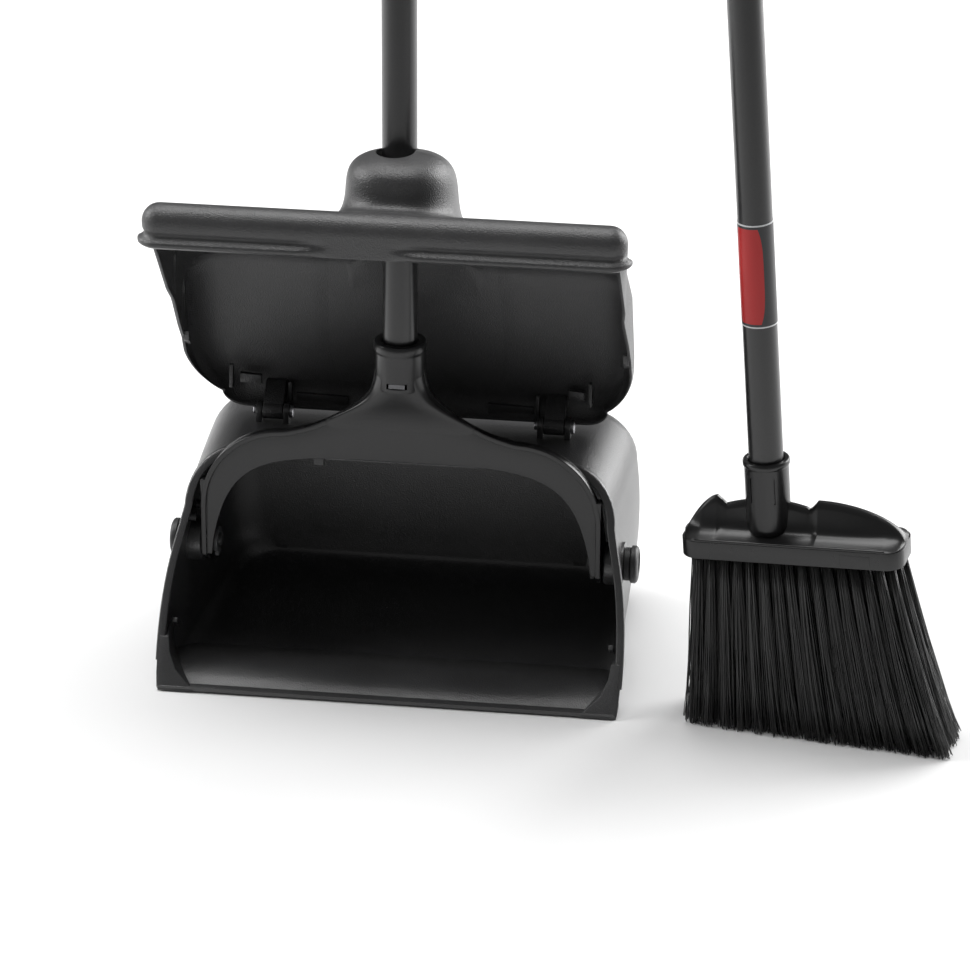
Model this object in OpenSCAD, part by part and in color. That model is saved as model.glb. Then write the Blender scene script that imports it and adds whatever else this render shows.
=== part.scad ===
// Upright dust pan with a hinged cover, and an angled long-handled broom.
// X runs across the pan, Y from its lip to its back, Z up. The origin is the middle of
// the centre wear strip's underside, on the floor.

/* [Pan] */
// Half width of the sweeping lip
lip_half = 158; // [150:1:162]
// Depth of the pan from its lip to its back wall
pan_depth = 205; // [195:1:215]
// Height of the pan's top
pan_top = 147; // [144:0.5:147]
// Half width of the pan's upper part behind the mouth
pan_half = 146; // [144:0.5:147]
// Half width of the pan's back
back_half = 151; // [148:0.5:152]
// Wall thickness of the moulded pan
pan_wall = 2.6; // [2:0.1:3]
// Angle between the mouth of the pan and the vertical
mouth_angle = 30; // [29:0.5:31]

/* [Cover] */
// Half width of the cover at its brim
brim_half = 160; // [158:0.5:161]
// Height of the cover's top above the floor when it is open
cover_top = 352; // [350:0.5:354]
// Wall thickness of the moulded cover
cover_wall = 2.4; // [2:0.1:2.6]
// Half width of the slot that the pole slides in
slot_half = 12.75; // [12.5:0.05:13.5]

/* [Handle] */
// Diameter of the dust pan's pole
pole_d = 23.5; // [22:0.1:23.5]
// Length of the pan's pole above its socket's floor
pan_pole_length = 727; // [600:1:800]
// How far the pole leans back from the vertical
pole_lean = 2; // [1:0.25:2]
// Distance from the pivot to the top of the yoke's socket
socket_top = 161; // [150:1:161]

/* [Broom] */
// Diameter of the broom's pole
broom_pole_d = 23; // [22:0.1:23.2]
// Length of the broom's pole
broom_pole_length = 762; // [600:1:820]
// How far the pole leans towards the short side of the head
head_tilt = 4; // [3:0.5:5]
// How far the broom is turned on the floor
broom_yaw = -9; // [-12:1:-6]
// Number of rows of tufts
tuft_rows = 5; // [5:1:5]

/* [Hidden] */
$fn = 64;

// Places along Y, from the lip backwards
lip_y = -100;
back_y = lip_y + pan_depth;
// Thickness of the wear strips, which lift the floor of the pan
tread_t = 1.5;
floor_t = 2.6;
// The yoke's pivot and the cover's hinge, as [Y, Z]
pivot = [-14, 75];
hinge = [32, 154];
// Pivot bolt
bolt_r = 5;
boss_r = 15;
run_gap = 0.05;
// Cover hinge
hinge_x = 98;
pin_r = 3;
knuckle_r = 6;
arm_half = 7;
ear_t = 4;
// Rear wheels
wheel_x = 108;
wheel_r = 15;
wheel_w = 10;
wheel_axle = [back_y + 12, wheel_r + 1];
// Yoke
yoke_off = -15;
yoke_half = 138;
yoke_top = 91;
yoke_web = 5;
yoke_rim = 3.5;
plate_t = 4;
socket_r = 17;
socket_floor = 105;
lock_z = 133;
// Poles
pole_r = pole_d / 2;
broom_pole_r = broom_pole_d / 2;
tube_t = 1.2;
fit_gap = 0.03;
cap_over = 15;
cap_r = 13;
cap_tab = 13;
hang_r = 4.5;
// Broom, with its head's own frame centred on the pole's axis
broom_at = [266, -87];
head_left = -57;
head_right = 93;
block_low = 127;
block_high = 139.5;
block_depth = 42;
peak_x = 34;
peak_z = 165;
head_socket_top = 194;
head_socket_r = 14.8;
row_pitch = 7.6;
row_t = 5;
row_in = 7;
sweep_left = -63;
sweep_right = 126;

// ---- helpers ----

module along_x(x0, x1) {
  translate([x0, 0, 0]) rotate([90, 0, 90]) linear_extrude(x1 - x0) children();
}

module along_y(y0, y1) {
  translate([0, y1, 0]) rotate([90, 0, 0]) linear_extrude(y1 - y0) children();
}

module rod_x(x0, x1, r, at) {
  translate([x0, at[0], at[1]]) rotate([0, 90, 0]) cylinder(r = r, h = x1 - x0);
}

module handle_frame() {
  translate([0, pivot[0], pivot[1]]) rotate([-pole_lean, 0, 0]) children();
}

module broom_frame() {
  translate([broom_at[0], broom_at[1], 0]) rotate([0, 0, broom_yaw]) children();
}

module head_frame() {
  broom_frame() rotate([0, -head_tilt, 0]) children();
}

// End cap of a pole: a sleeve over the tube and a flat tab with the hang-up hole
module hang_cap(tube_r) {
  tab_z = cap_over + 21;
  difference() {
    union() {
      cylinder(r = cap_r, h = cap_over + 12);
      translate([-cap_tab / 2, 0, 0]) rod_x(0, cap_tab, cap_r - 0.5, [0, tab_z]);
      translate([-cap_tab / 2, -cap_r + 0.5, cap_over]) cube([cap_tab, 2 * cap_r - 1, 21]);
    }
    translate([0, 0, -1]) cylinder(r = tube_r + fit_gap, h = cap_over + 1);
    rod_x(-cap_r, cap_r, hang_r, [0, tab_z]);
  }
}

// ---- pan ----

// Outer form of the pan, drawn in by inset on every wall and let out at the mouth by open
module pan_form(inset, open = 0) {
  low = tread_t + (inset > 0 ? floor_t : 0);
  corner = 36;
  hull() {
    for (s = [-1, 1]) {
      translate([s * (lip_half - inset) - 0.5, lip_y - open, low]) cube([1, 1, 7]);
      translate([s * (pan_half - corner), lip_y + 175, pan_top - corner]) rotate([90, 0, 0])
        cylinder(r = corner - inset, h = 145 + open, $fn = 48);
      translate([s * (143 - 14), back_y - 19, low + 14]) sphere(r = 14 - inset / 2, $fn = 32);
      translate([s * (back_half - 30), back_y - 30, pan_top - 33]) sphere(r = 30 - inset, $fn = 32);
    }
  }
}

// Everything in front of a plane parallel to the mouth, set back by depth
module before_mouth(depth) {
  translate([0, lip_y, 4.6]) rotate([-mouth_angle, 0, 0])
    translate([-250, depth - 300, 0]) cube([500, 300, 400]);
}

module hinge_ears() {
  inner = arm_half + 0.5;
  for (s = [-1, 1], e = [-1, 1]) {
    x0 = s * hinge_x + (e > 0 ? inner : -inner - ear_t);
    rod_x(x0, x0 + ear_t, knuckle_r, hinge);
    translate([x0, hinge[0] - knuckle_r, pan_top - 2]) cube([ear_t, 2 * knuckle_r, hinge[1] - pan_top + 2]);
  }
}

module wheel_ears() {
  inner = wheel_w / 2 + 0.6;
  for (s = [-1, 1], e = [-1, 1]) {
    x0 = s * wheel_x + (e > 0 ? inner : -inner - 3);
    rod_x(x0, x0 + 3, 7, wheel_axle);
    translate([x0, back_y - 7.5, wheel_axle[1] - 5]) cube([3, wheel_axle[0] - back_y + 7.5, 10]);
  }
}

module pan_body() {
  color([0.09, 0.09, 0.1]) difference() {
    union() {
      difference() {
        pan_form(0);
        pan_form(pan_wall, 30);
      }
      // thickened rim round the mouth
      intersection() {
        difference() {
          pan_form(0);
          pan_form(4.5, 30);
        }
        before_mouth(5);
        translate([-200, lip_y - 50, 14]) cube([400, 200, 200]);
      }
      // lip blade that meets the floor
      along_x(-lip_half + 1, lip_half - 1)
        polygon([[lip_y - 1, 0], [lip_y + 14, 0], [lip_y + 17, tread_t + 0.5], [lip_y + 17, 4], [lip_y - 1, 1]]);
      // corner wedges where the lip meets the side walls
      for (s = [-1, 1]) mirror([s > 0 ? 0 : 1, 0, 0]) along_y(lip_y, lip_y + 42)
        polygon([[lip_half - 1, 1.5], [lip_half - 24, 1.5], [lip_half - 18, 14], [lip_half - 5, 30], [lip_half - 1, 32]]);
      // pivot bosses through the side walls
      for (s = [-1, 1]) mirror([s > 0 ? 0 : 1, 0, 0]) rod_x(yoke_half + 1, 152.5, boss_r, pivot);
      hinge_ears();
      wheel_ears();
    }
    before_mouth(0);
    // flat seats for the spacers
    for (s = [-1, 1]) mirror([s > 0 ? 0 : 1, 0, 0]) rod_x(152.55, 172, boss_r, pivot);
    rod_x(-170, 170, bolt_r + 0.02, pivot);
    for (s = [-1, 1]) rod_x(s * hinge_x - 16, s * hinge_x + 16, pin_r + 0.02, hinge);
    for (s = [-1, 1]) rod_x(s * wheel_x - 12, s * wheel_x + 12, pin_r + 0.02, wheel_axle);
  }
}

module tread(x) {
  color([0.16, 0.16, 0.17]) difference() {
    translate([x - 9, lip_y + 22, 0]) cube([18, 156, tread_t]);
    for (k = [-6, 6]) translate([x + k - 1, lip_y + 21, -0.1]) cube([2, 158, 0.7]);
  }
}

module tread_left() { tread(-92); }
module tread_centre() { tread(0); }
module tread_right() { tread(92); }

module pivot_bolt() {
  color([0.12, 0.12, 0.13]) union() {
    rod_x(127, 158, bolt_r, pivot);
    rod_x(157.3, 160.5, 13, pivot);
    translate([160.5, pivot[0], pivot[1]]) rotate([0, 90, 0]) cylinder(r1 = 13, r2 = 11, h = 1.8);
  }
}

module pivot_spacer() {
  color([0.07, 0.07, 0.08]) difference() {
    rod_x(152.6, 157.2, 11.5, pivot);
    rod_x(150, 160, bolt_r + 0.02, pivot);
  }
}

module pivot_clip() {
  color([0.14, 0.14, 0.15]) difference() {
    union() {
      rod_x(129, 132, 9, pivot);
      translate([129, pivot[0] - 5, pivot[1] - 14]) cube([3, 10, 10]);
    }
    rod_x(120, 140, bolt_r + 0.02, pivot);
  }
}

module pivot_bolt_right() { pivot_bolt(); }
module pivot_bolt_left() { mirror([1, 0, 0]) pivot_bolt(); }
module pivot_spacer_right() { pivot_spacer(); }
module pivot_spacer_left() { mirror([1, 0, 0]) pivot_spacer(); }
module pivot_clip_right() { pivot_clip(); }
module pivot_clip_left() { mirror([1, 0, 0]) pivot_clip(); }

module cover_pin(x) {
  color([0.5, 0.5, 0.52]) union() {
    rod_x(x - 14, x + 12.5, pin_r, hinge);
    rod_x(x + 11.6, x + 14, 4.6, hinge);
  }
}

module cover_pin_left() { cover_pin(-hinge_x); }
module cover_pin_right() { cover_pin(hinge_x); }

module wheel(x) {
  color([0.2, 0.2, 0.21]) difference() {
    rod_x(x - wheel_w / 2, x + wheel_w / 2, wheel_r, wheel_axle);
    rod_x(x - 20, x + 20, pin_r + run_gap, wheel_axle);
    for (s = [-1, 1]) difference() {
      rod_x(x + s * 4.4 - 1.5, x + s * 4.4 + 1.5, wheel_r - 3, wheel_axle);
      rod_x(x - 20, x + 20, 6, wheel_axle);
    }
  }
}

module wheel_left() { wheel(-wheel_x); }
module wheel_right() { wheel(wheel_x); }

module wheel_pin(x) {
  color([0.5, 0.5, 0.52]) union() {
    rod_x(x - 9.5, x + 9.5, pin_r, wheel_axle);
    rod_x(x + 8.8, x + 10.6, 4.6, wheel_axle);
  }
}

module wheel_pin_left() { wheel_pin(-wheel_x); }
module wheel_pin_right() { wheel_pin(wheel_x); }

// ---- handle ----

// Front view of the arch's outside, drawn in by inset
module arch_outside(inset) {
  r = 58;
  for (s = [-1, 1]) translate([s * (yoke_half - r), yoke_top - r]) circle(r = r - inset);
  translate([-(yoke_half - r), 0]) square([2 * (yoke_half - r), yoke_top - inset]);
  translate([-yoke_half + inset, 12]) square([2 * (yoke_half - inset), yoke_top - r - 12]);
}

// Front view of the opening under the arch
module arch_opening() {
  r = 58;
  half = yoke_half - 7;
  high = yoke_top - 19;
  for (s = [-1, 1]) translate([s * (half - r), high - r]) circle(r = r);
  translate([-(half - r), -60]) square([2 * (half - r), high + 60]);
  translate([-half, -60]) square([2 * half, high - r + 60]);
}

// Flare between the arch and the socket
module neck_flare(inset) {
  line = [[70, yoke_top - 14], [80, yoke_top], [58, yoke_top + 6], [37.5, yoke_top + 17.5],
    [26, yoke_top + 26.5], [20, yoke_top + 35], [socket_r, yoke_top + 44]];
  offset(delta = -inset)
    polygon(concat(line, [for (k = [len(line) - 1:-1:0]) [-line[k][0], line[k][1]]]));
}

module yoke() {
  color([0.05, 0.05, 0.055]) handle_frame() difference() {
    union() {
      // web
      along_y(yoke_off - yoke_web / 2, yoke_off + yoke_web / 2) difference() {
        union() {
          arch_outside(0);
          neck_flare(0);
        }
        arch_opening();
      }
      // flange along the outer edge, cut away under the flare
      along_y(yoke_off - 5, yoke_off + 3) difference() {
        union() {
          arch_outside(0);
          neck_flare(0);
        }
        union() {
          arch_outside(yoke_rim);
          neck_flare(yoke_rim);
        }
        arch_opening();
      }
      // side plates that turn on the pivot bolts
      for (s = [-1, 1]) mirror([s > 0 ? 0 : 1, 0, 0]) {
        rod_x(yoke_half - plate_t, yoke_half, 14, [0, 0]);
        along_x(yoke_half - plate_t, yoke_half)
          polygon([[-14, 0], [14, 0], [yoke_off + 3, 45], [yoke_off - 5, 45], [-17, 14]]);
      }
      // socket for the pole
      translate([0, yoke_off, yoke_top - 8]) cylinder(r = socket_r, h = socket_top - yoke_top + 8);
      translate([0, yoke_off, socket_top - 5]) cylinder(r = socket_r + 0.9, h = 5);
    }
    translate([0, yoke_off, socket_floor]) cylinder(r = pole_r + fit_gap, h = socket_top);
    translate([-7, yoke_off - socket_r - 2, lock_z - 2]) cube([14, socket_r, 4]);
    rod_x(-160, 160, bolt_r + run_gap, [0, 0]);
  }
}

module pole_lock_tab() {
  color([0.3, 0.3, 0.32]) handle_frame()
    translate([-5.5, yoke_off - socket_r + 1, lock_z - 1.5]) cube([11, socket_r - 2, 3]);
}

module pan_pole() {
  color([0.07, 0.07, 0.075]) handle_frame() translate([0, yoke_off, 0]) difference() {
    translate([0, 0, socket_floor]) cylinder(r = pole_r, h = pan_pole_length);
    translate([0, 0, socket_floor - 1]) cylinder(r = pole_r - tube_t, h = pan_pole_length + 2);
    translate([-6, -pole_r - 1, lock_z - 2]) cube([12, pole_r, 4]);
  }
}

module pan_pole_cap() {
  color([0.06, 0.06, 0.065]) handle_frame()
    translate([0, yoke_off, socket_floor + pan_pole_length - cap_over]) hang_cap(pole_r);
}

// ---- cover ----

// Outer form of the hood in its open position, drawn in by inset
module cover_form(inset) {
  hull() {
    for (s = [-1, 1]) {
      translate([s * (brim_half - 12), lip_y + 12, cover_top - 12]) sphere(r = 12 - inset, $fn = 32);
      translate([s * 129, lip_y + 70, cover_top - 59]) sphere(r = 24 - inset, $fn = 32);
      translate([s * 128, lip_y + 100, cover_top - 90]) sphere(r = 26 - inset, $fn = 32);
      translate([s * 129, lip_y + 96, 212]) sphere(r = 24 - inset, $fn = 32);
      translate([s * 88, lip_y + 134, 166]) sphere(r = 16 - inset, $fn = 32);
    }
  }
}

// Outer form of the dome that the pole slides through; its top falls away to the back
module dome_form(inset) {
  hull() {
    for (s = [-1, 1]) {
      translate([s * 13, lip_y + 60, cover_top + 4]) sphere(r = 22 - inset, $fn = 32);
      translate([s * 13, lip_y + 106, cover_top - 12]) sphere(r = 22 - inset, $fn = 32);
      translate([s * 18, lip_y + 42, cover_top - 22]) sphere(r = 22 - inset, $fn = 32);
      translate([s * 18, lip_y + 100, cover_top - 62]) sphere(r = 22 - inset, $fn = 32);
    }
  }
}

// Everything in front of and under the open edge of the hood
module under_cover() {
  brim_low = 325;
  rise = brim_low - 162;
  back = 150;
  flap = hinge[0] - lip_y + knuckle_r + 3;
  difference() {
    translate([0, lip_y, brim_low]) rotate([-atan2(rise, back), 0, 0])
      translate([-250, -60, -400]) cube([500, 400, 400]);
    translate([-108, lip_y + flap, 100]) cube([216, 60, 100]);
  }
  translate([-250, lip_y - 20, 100]) cube([500, flap + 20, 66]);
}

module cover() {
  slot_front = lip_y + 63;
  slot_back = lip_y + 83;
  color([0.1, 0.1, 0.11]) difference() {
    union() {
      difference() {
        union() {
          cover_form(0);
          dome_form(0);
        }
        cover_form(cover_wall);
        under_cover();
      }
      // flange under the brim
      difference() {
        translate([-brim_half - 3, lip_y - 2, 323]) cube([2 * brim_half + 6, 14, 5]);
        translate([-brim_half + 3, lip_y + 2.5, 320]) cube([2 * brim_half - 6, 20, 10]);
      }
      // hinge arms
      for (s = [-1, 1]) {
        rod_x(s * hinge_x - arm_half, s * hinge_x + arm_half, knuckle_r, hinge);
        along_x(s * hinge_x - arm_half, s * hinge_x + arm_half)
          polygon([
            [hinge[0] - 7, hinge[1] + 1], [hinge[0] + 6, hinge[1] - 4], [lip_y + 148, hinge[1] + 8],
            [lip_y + 142, hinge[1] + 39], [lip_y + 136, hinge[1] + 33]
          ]);
      }
    }
    dome_form(cover_wall);
    for (s = [-1, 1]) rod_x(s * hinge_x - 20, s * hinge_x + 20, pin_r + run_gap, hinge);
    for (y = [slot_front, slot_back]) translate([0, y, cover_top - 20]) cylinder(r = slot_half, h = 60);
    translate([-slot_half, slot_front, cover_top - 20]) cube([2 * slot_half, slot_back - slot_front, 60]);
  }
}

// ---- broom ----

// Front view of the head: a round shoulder on the long side and a slope on the short side
module head_outline() {
  steps = 10;
  shoulder = [for (k = [0:steps])
    [peak_x + (head_right - peak_x) * cos(90 * k / steps),
     block_high + (peak_z - 5 - block_high) * sin(90 * k / steps)]];
  polygon(concat(
    [[head_left, block_high - 0.5], [head_right, block_high - 0.5]],
    shoulder,
    [[peak_x, peak_z], [peak_x - 4, peak_z - 5], [socket_r, peak_z - 2], [-socket_r, peak_z - 2],
     [-peak_x + 5, peak_z - 6], [-peak_x, peak_z]]
  ));
}

module broom_head() {
  half = block_depth / 2;
  color([0.06, 0.06, 0.065]) head_frame() difference() {
    union() {
      intersection() {
        along_y(-half, half) head_outline();
        along_x(head_left, head_right)
          polygon([[-half, block_high], [half, block_high], [half - 10, block_high + 3], [5, peak_z + 1],
                   [-5, peak_z + 1], [-half + 10, block_high + 3]]);
      }
      translate([0, 0, block_high]) cylinder(r = head_socket_r, h = head_socket_top - block_high);
      translate([0, 0, head_socket_top - 4]) cylinder(r = head_socket_r + 0.8, h = 4);
    }
    translate([0, 0, block_high + 4]) cylinder(r = 9.5, h = 30);
    translate([0, 0, block_high + 20]) cylinder(r = broom_pole_r + fit_gap, h = 60);
  }
}

module brush_block() {
  half = block_depth / 2;
  color([0.08, 0.08, 0.085]) head_frame() difference() {
    union() {
      translate([head_left + 12, -half, block_low])
        cube([head_right - head_left - 24, block_depth, block_high - block_low]);
      for (x = [head_left + 12, head_right - 12], y = [-half + 12, half - 12])
        translate([x, y, block_low]) cylinder(r = 12, h = block_high - block_low);
      translate([head_left, -half + 12, block_low])
        cube([head_right - head_left, block_depth - 24, block_high - block_low]);
    }
    for (k = [1:tuft_rows])
      translate([head_left + 4, row_y(k) - row_t / 2 - 0.1, block_low - 1])
        cube([head_right - head_left - 8, row_t + 0.2, row_in + 4.5]);
  }
}

function row_y(k) = (k - (tuft_rows + 1) / 2) * row_pitch;

// One row of tufts: it starts in its slot of the block and fans out to the floor
module bristle_row(k) {
  spread = 1.25;
  color([0.03, 0.03, 0.035]) hull() {
    head_frame() translate([head_left + 5.5, row_y(k) - 2.2, block_low + row_in - 1])
      cube([head_right - head_left - 13.5, 4.4, 1]);
    broom_frame() translate([sweep_left, row_y(k) * spread - row_t * 0.6, 0])
      cube([sweep_right - sweep_left, row_t * 1.2, 1]);
  }
}

module bristle_row_1() { bristle_row(1); }
module bristle_row_2() { bristle_row(2); }
module bristle_row_3() { bristle_row(3); }
module bristle_row_4() { bristle_row(4); }
module bristle_row_5() { bristle_row(5); }

module tuft_staples() {
  columns = 8;
  step = (head_right - head_left - 20) / (columns - 1);
  color([0.6, 0.6, 0.6]) head_frame() for (k = [1:tuft_rows], c = [0:columns - 1])
    translate([head_left + 10 + c * step - 1.5, row_y(k) - 1, block_low + row_in])
      cube([3, 2, 3]);
}

module broom_thread_plug() {
  color([0.45, 0.45, 0.47]) head_frame() union() {
    translate([0, 0, block_high + 5]) cylinder(r = 9.3, h = 40);
    for (k = [0:3]) translate([0, 0, block_high + 7 + k * 3]) cylinder(r = 9.48, h = 1.4);
  }
}

module broom_pole() {
  color([0.07, 0.07, 0.075]) head_frame() difference() {
    translate([0, 0, block_high + 20]) cylinder(r = broom_pole_r, h = broom_pole_length);
    translate([0, 0, block_high + 19]) cylinder(r = broom_pole_r - tube_t, h = broom_pole_length + 2);
  }
}

module broom_label() {
  low = 290;
  color([0.75, 0.08, 0.08]) head_frame() difference() {
    translate([0, 0, low]) cylinder(r = broom_pole_r + 0.25, h = 71);
    translate([0, 0, low - 1]) cylinder(r = broom_pole_r, h = 73);
  }
}

module broom_pole_cap() {
  color([0.06, 0.06, 0.065]) head_frame()
    translate([0, 0, block_high + 20 + broom_pole_length - cap_over]) rotate([0, 0, 90])
      hang_cap(broom_pole_r);
}

pan_body();
tread_left();
tread_centre();
tread_right();
pivot_bolt_left();
pivot_bolt_right();
pivot_spacer_left();
pivot_spacer_right();
pivot_clip_left();
pivot_clip_right();
cover_pin_left();
cover_pin_right();
wheel_left();
wheel_right();
wheel_pin_left();
wheel_pin_right();
yoke();
pole_lock_tab();
pan_pole();
pan_pole_cap();
cover();
broom_head();
brush_block();
bristle_row_1();
bristle_row_2();
bristle_row_3();
bristle_row_4();
bristle_row_5();
tuft_staples();
broom_thread_plug();
broom_pole();
broom_label();
broom_pole_cap();
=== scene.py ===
"""Looks of an upright dust pan with a hinged cover, and of its angled long-handled broom."""
import math

import bmesh
import bpy
import numpy as np
from mathutils import Matrix, Vector


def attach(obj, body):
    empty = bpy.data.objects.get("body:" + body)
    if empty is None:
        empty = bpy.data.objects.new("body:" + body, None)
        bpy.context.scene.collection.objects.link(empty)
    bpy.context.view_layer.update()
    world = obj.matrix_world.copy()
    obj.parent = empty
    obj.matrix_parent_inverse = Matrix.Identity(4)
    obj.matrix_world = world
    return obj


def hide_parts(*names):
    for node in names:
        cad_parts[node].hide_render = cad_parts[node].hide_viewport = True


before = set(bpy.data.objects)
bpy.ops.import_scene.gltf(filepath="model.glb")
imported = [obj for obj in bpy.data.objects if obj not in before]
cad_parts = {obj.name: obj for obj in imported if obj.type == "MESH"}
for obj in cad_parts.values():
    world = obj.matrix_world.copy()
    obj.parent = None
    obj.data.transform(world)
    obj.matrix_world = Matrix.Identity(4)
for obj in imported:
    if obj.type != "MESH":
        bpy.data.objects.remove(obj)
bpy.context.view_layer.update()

bl_info = {
    "name": "Dust Pan and Broom",
    "version": (1, 0, 0),
    "blender": (4, 5, 0),
    "location": "View3D > Sidebar > Dust Pan",
    "description": "Builds an upright dust pan with a hinged cover and its angled broom",
    "category": "Object",
}

MM = 0.001
TINY = 1e-6

# Places of the CAD model, in millimetres; an axis that lies along X is given as its (Y, Z)
LIP_Y = -100.0
PIVOT = (-14.0, 75.0)
HINGE = (32.0, 154.0)
HINGE_X = 98.0
AXLE = (117.0, 16.0)
AXLE_X = 108.0
POLE_LEAN = math.radians(2)
YOKE_OFF = -15.0
BROOM_SPOT = (266.0, -87.0)
BROOM_TURN = math.radians(-9)
HEAD_TILT = math.radians(4)
HANDLE = Matrix.Translation((0, *PIVOT)) @ Matrix.Rotation(-POLE_LEAN, 4, "X")
BROOM = Matrix.Translation((*BROOM_SPOT, 0)) @ Matrix.Rotation(BROOM_TURN, 4, "Z")
HEAD = BROOM @ Matrix.Rotation(-HEAD_TILT, 4, "Y")


# ---------------------------------------------------------------- mesh helpers

def smoothstep(low, high, value):
    """0 below low, 1 above high, smooth between."""
    t = np.clip((np.asarray(value, float) - low) / (high - low), 0, 1)
    return t * t * (3 - 2 * t)


class Shape:
    """Collects points in millimetres and faces, with a material number for each face."""

    def __init__(self):
        self.points, self.faces, self.kinds = [], [], []

    def add(self, points, faces, kind=0, matrix=None):
        """Adds points, moved by the matrix, and the faces that count from the first of them."""
        base = len(self.points)
        for p in points:
            v = Vector(tuple(float(c) for c in p))
            self.points.append(matrix @ v if matrix else v)
        for f in faces:
            self.faces.append(tuple(base + i for i in f))
            self.kinds.append(kind)

    def grid(self, rows, close=False):
        """A sheet of quads through rows of points; close joins each row's ends."""
        n = len(rows[0])
        faces = []
        for i in range(len(rows) - 1):
            for j in range(n if close else n - 1):
                k = (j + 1) % n
                faces.append((i * n + j, i * n + k, (i + 1) * n + k, (i + 1) * n + j))
        self.add([p for row in rows for p in row], faces)

    def sweep(self, rings, matrix=None, joined=False):
        """A closed tube through rings of points, with flat ends unless it is joined."""
        n = len(rings[0])
        faces = []
        count = len(rings) if joined else len(rings) - 1
        for i in range(count):
            a, b = i * n, ((i + 1) % len(rings)) * n
            for j in range(n):
                k = (j + 1) % n
                faces.append((a + j, a + k, b + k, b + j))
        if not joined:
            faces.append(tuple(range(n))[::-1])
            faces.append(tuple((len(rings) - 1) * n + j for j in range(n)))
        self.add([p for ring in rings for p in ring], faces, matrix=matrix)

    def lathe(self, profile, matrix, count=64, kind=0, closed=False):
        """A profile of (radius, height) points turned round the matrix's Z axis."""
        points, faces, rows = [], [], []
        for r, h in profile:
            if r < TINY:
                rows.append([len(points)] * count)
                points.append((0, 0, h))
            else:
                rows.append(list(range(len(points), len(points) + count)))
                for k in range(count):
                    a = 2 * math.pi * k / count
                    points.append((r * math.cos(a), r * math.sin(a), h))
        for low, high in zip(rows, rows[1:] + rows[:1] if closed else rows[1:]):
            for k in range(count):
                m = (k + 1) % count
                f = [low[k], low[m], high[m], high[k]]
                f = [v for i, v in enumerate(f) if v not in f[:i]]
                if len(f) > 2:
                    faces.append(tuple(f))
        self.add(points, faces, kind, matrix)

    def prism(self, outline, low, high, axis, kind=0, matrix=None):
        """An outline pushed along X, Y or Z from low to high."""
        def place(p, d):
            return {"X": (d, p[0], p[1]), "Y": (p[0], d, p[1]), "Z": (p[0], p[1], d)}[axis]
        n = len(outline)
        faces = [tuple(range(n))[::-1], tuple(range(n, 2 * n))]
        faces += [(j, (j + 1) % n, n + (j + 1) % n, n + j) for j in range(n)]
        self.add([place(p, low) for p in outline] + [place(p, high) for p in outline],
                 faces, kind, matrix)

    def build(self, name):
        """Makes the object, in metres, with its faces turned outwards."""
        mesh = bpy.data.meshes.new(name)
        mesh.from_pydata([tuple(p * MM) for p in self.points], [], self.faces)
        mesh.polygons.foreach_set("material_index", self.kinds)
        work = bmesh.new()
        work.from_mesh(mesh)
        bmesh.ops.remove_doubles(work, verts=work.verts, dist=0.00002)
        bmesh.ops.dissolve_degenerate(work, edges=work.edges, dist=0.00001)
        bmesh.ops.recalc_face_normals(work, faces=work.faces)
        work.to_mesh(mesh)
        work.free()
        obj = bpy.data.objects.new(name, mesh)
        bpy.context.scene.collection.objects.link(obj)
        return obj


def circle(radius, count=24, centre=(0, 0), start=0.0, sweep=2 * math.pi):
    """Points of a circle, or of an arc with both its ends."""
    full = abs(sweep) >= 2 * math.pi
    last = count if full else count - 1
    return [(centre[0] + radius * math.cos(start + sweep * k / last),
             centre[1] + radius * math.sin(start + sweep * k / last)) for k in range(count)]


def smooth_line(points, count):
    """A smooth open curve through the points, evenly spaced."""
    p = np.asarray(points, float)
    p = np.vstack([2 * p[0] - p[1], p, 2 * p[-1] - p[-2]])
    out = []
    for i in range(1, len(p) - 2):
        for t in np.linspace(0, 1, 24, endpoint=False):
            a, b, c, d = p[i - 1], p[i], p[i + 1], p[i + 2]
            out.append(0.5 * (2 * b + (c - a) * t + (2 * a - 5 * b + 4 * c - d) * t * t
                              + (3 * b - a - 3 * c + d) * t ** 3))
    out.append(p[-2])
    return even_line(out, count)


def even_line(points, count):
    """The same line with evenly spaced points."""
    p = np.asarray(points, float)
    run = np.concatenate([[0], np.cumsum(np.linalg.norm(np.diff(p, axis=0), axis=1))])
    return np.array([[np.interp(s, run, p[:, k]) for k in range(p.shape[1])]
                     for s in np.linspace(0, run[-1], count)])


def crosswise(side, spot=(0, 0, 0)):
    """An axis through a spot that lies along X, to the right for side 1 and to the left for -1."""
    return Matrix.Translation(spot) @ Matrix.Rotation(math.pi / 2 * side, 4, "Y")


def modify(obj, kind, **values):
    """Adds a modifier with these values."""
    mod = obj.modifiers.new(kind.title(), kind)
    for key, value in values.items():
        setattr(mod, key, value)


def bake(obj):
    """Turns the object's modifiers into its plain mesh."""
    bpy.context.view_layer.update()
    deps = bpy.context.evaluated_depsgraph_get()
    mesh = bpy.data.meshes.new_from_object(obj.evaluated_get(deps))
    old = obj.data
    obj.modifiers.clear()
    obj.data = mesh
    mesh.name = obj.name
    bpy.data.meshes.remove(old)


def soften(obj, width, angle, segments=2):
    """Rounds the edges that are sharper than the angle by width, in millimetres."""
    modify(obj, "BEVEL", width=width * MM, segments=segments, limit_method="ANGLE",
           angle_limit=math.radians(angle), use_clamp_overlap=True)
    bake(obj)


def cut(cutter, *objects):
    """Takes the cutter's shape out of the objects, and removes the cutter."""
    for obj in objects:
        modify(obj, "BOOLEAN", operation="DIFFERENCE", object=cutter, solver="EXACT")
        bake(obj)
    bpy.data.objects.remove(cutter)


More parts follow.
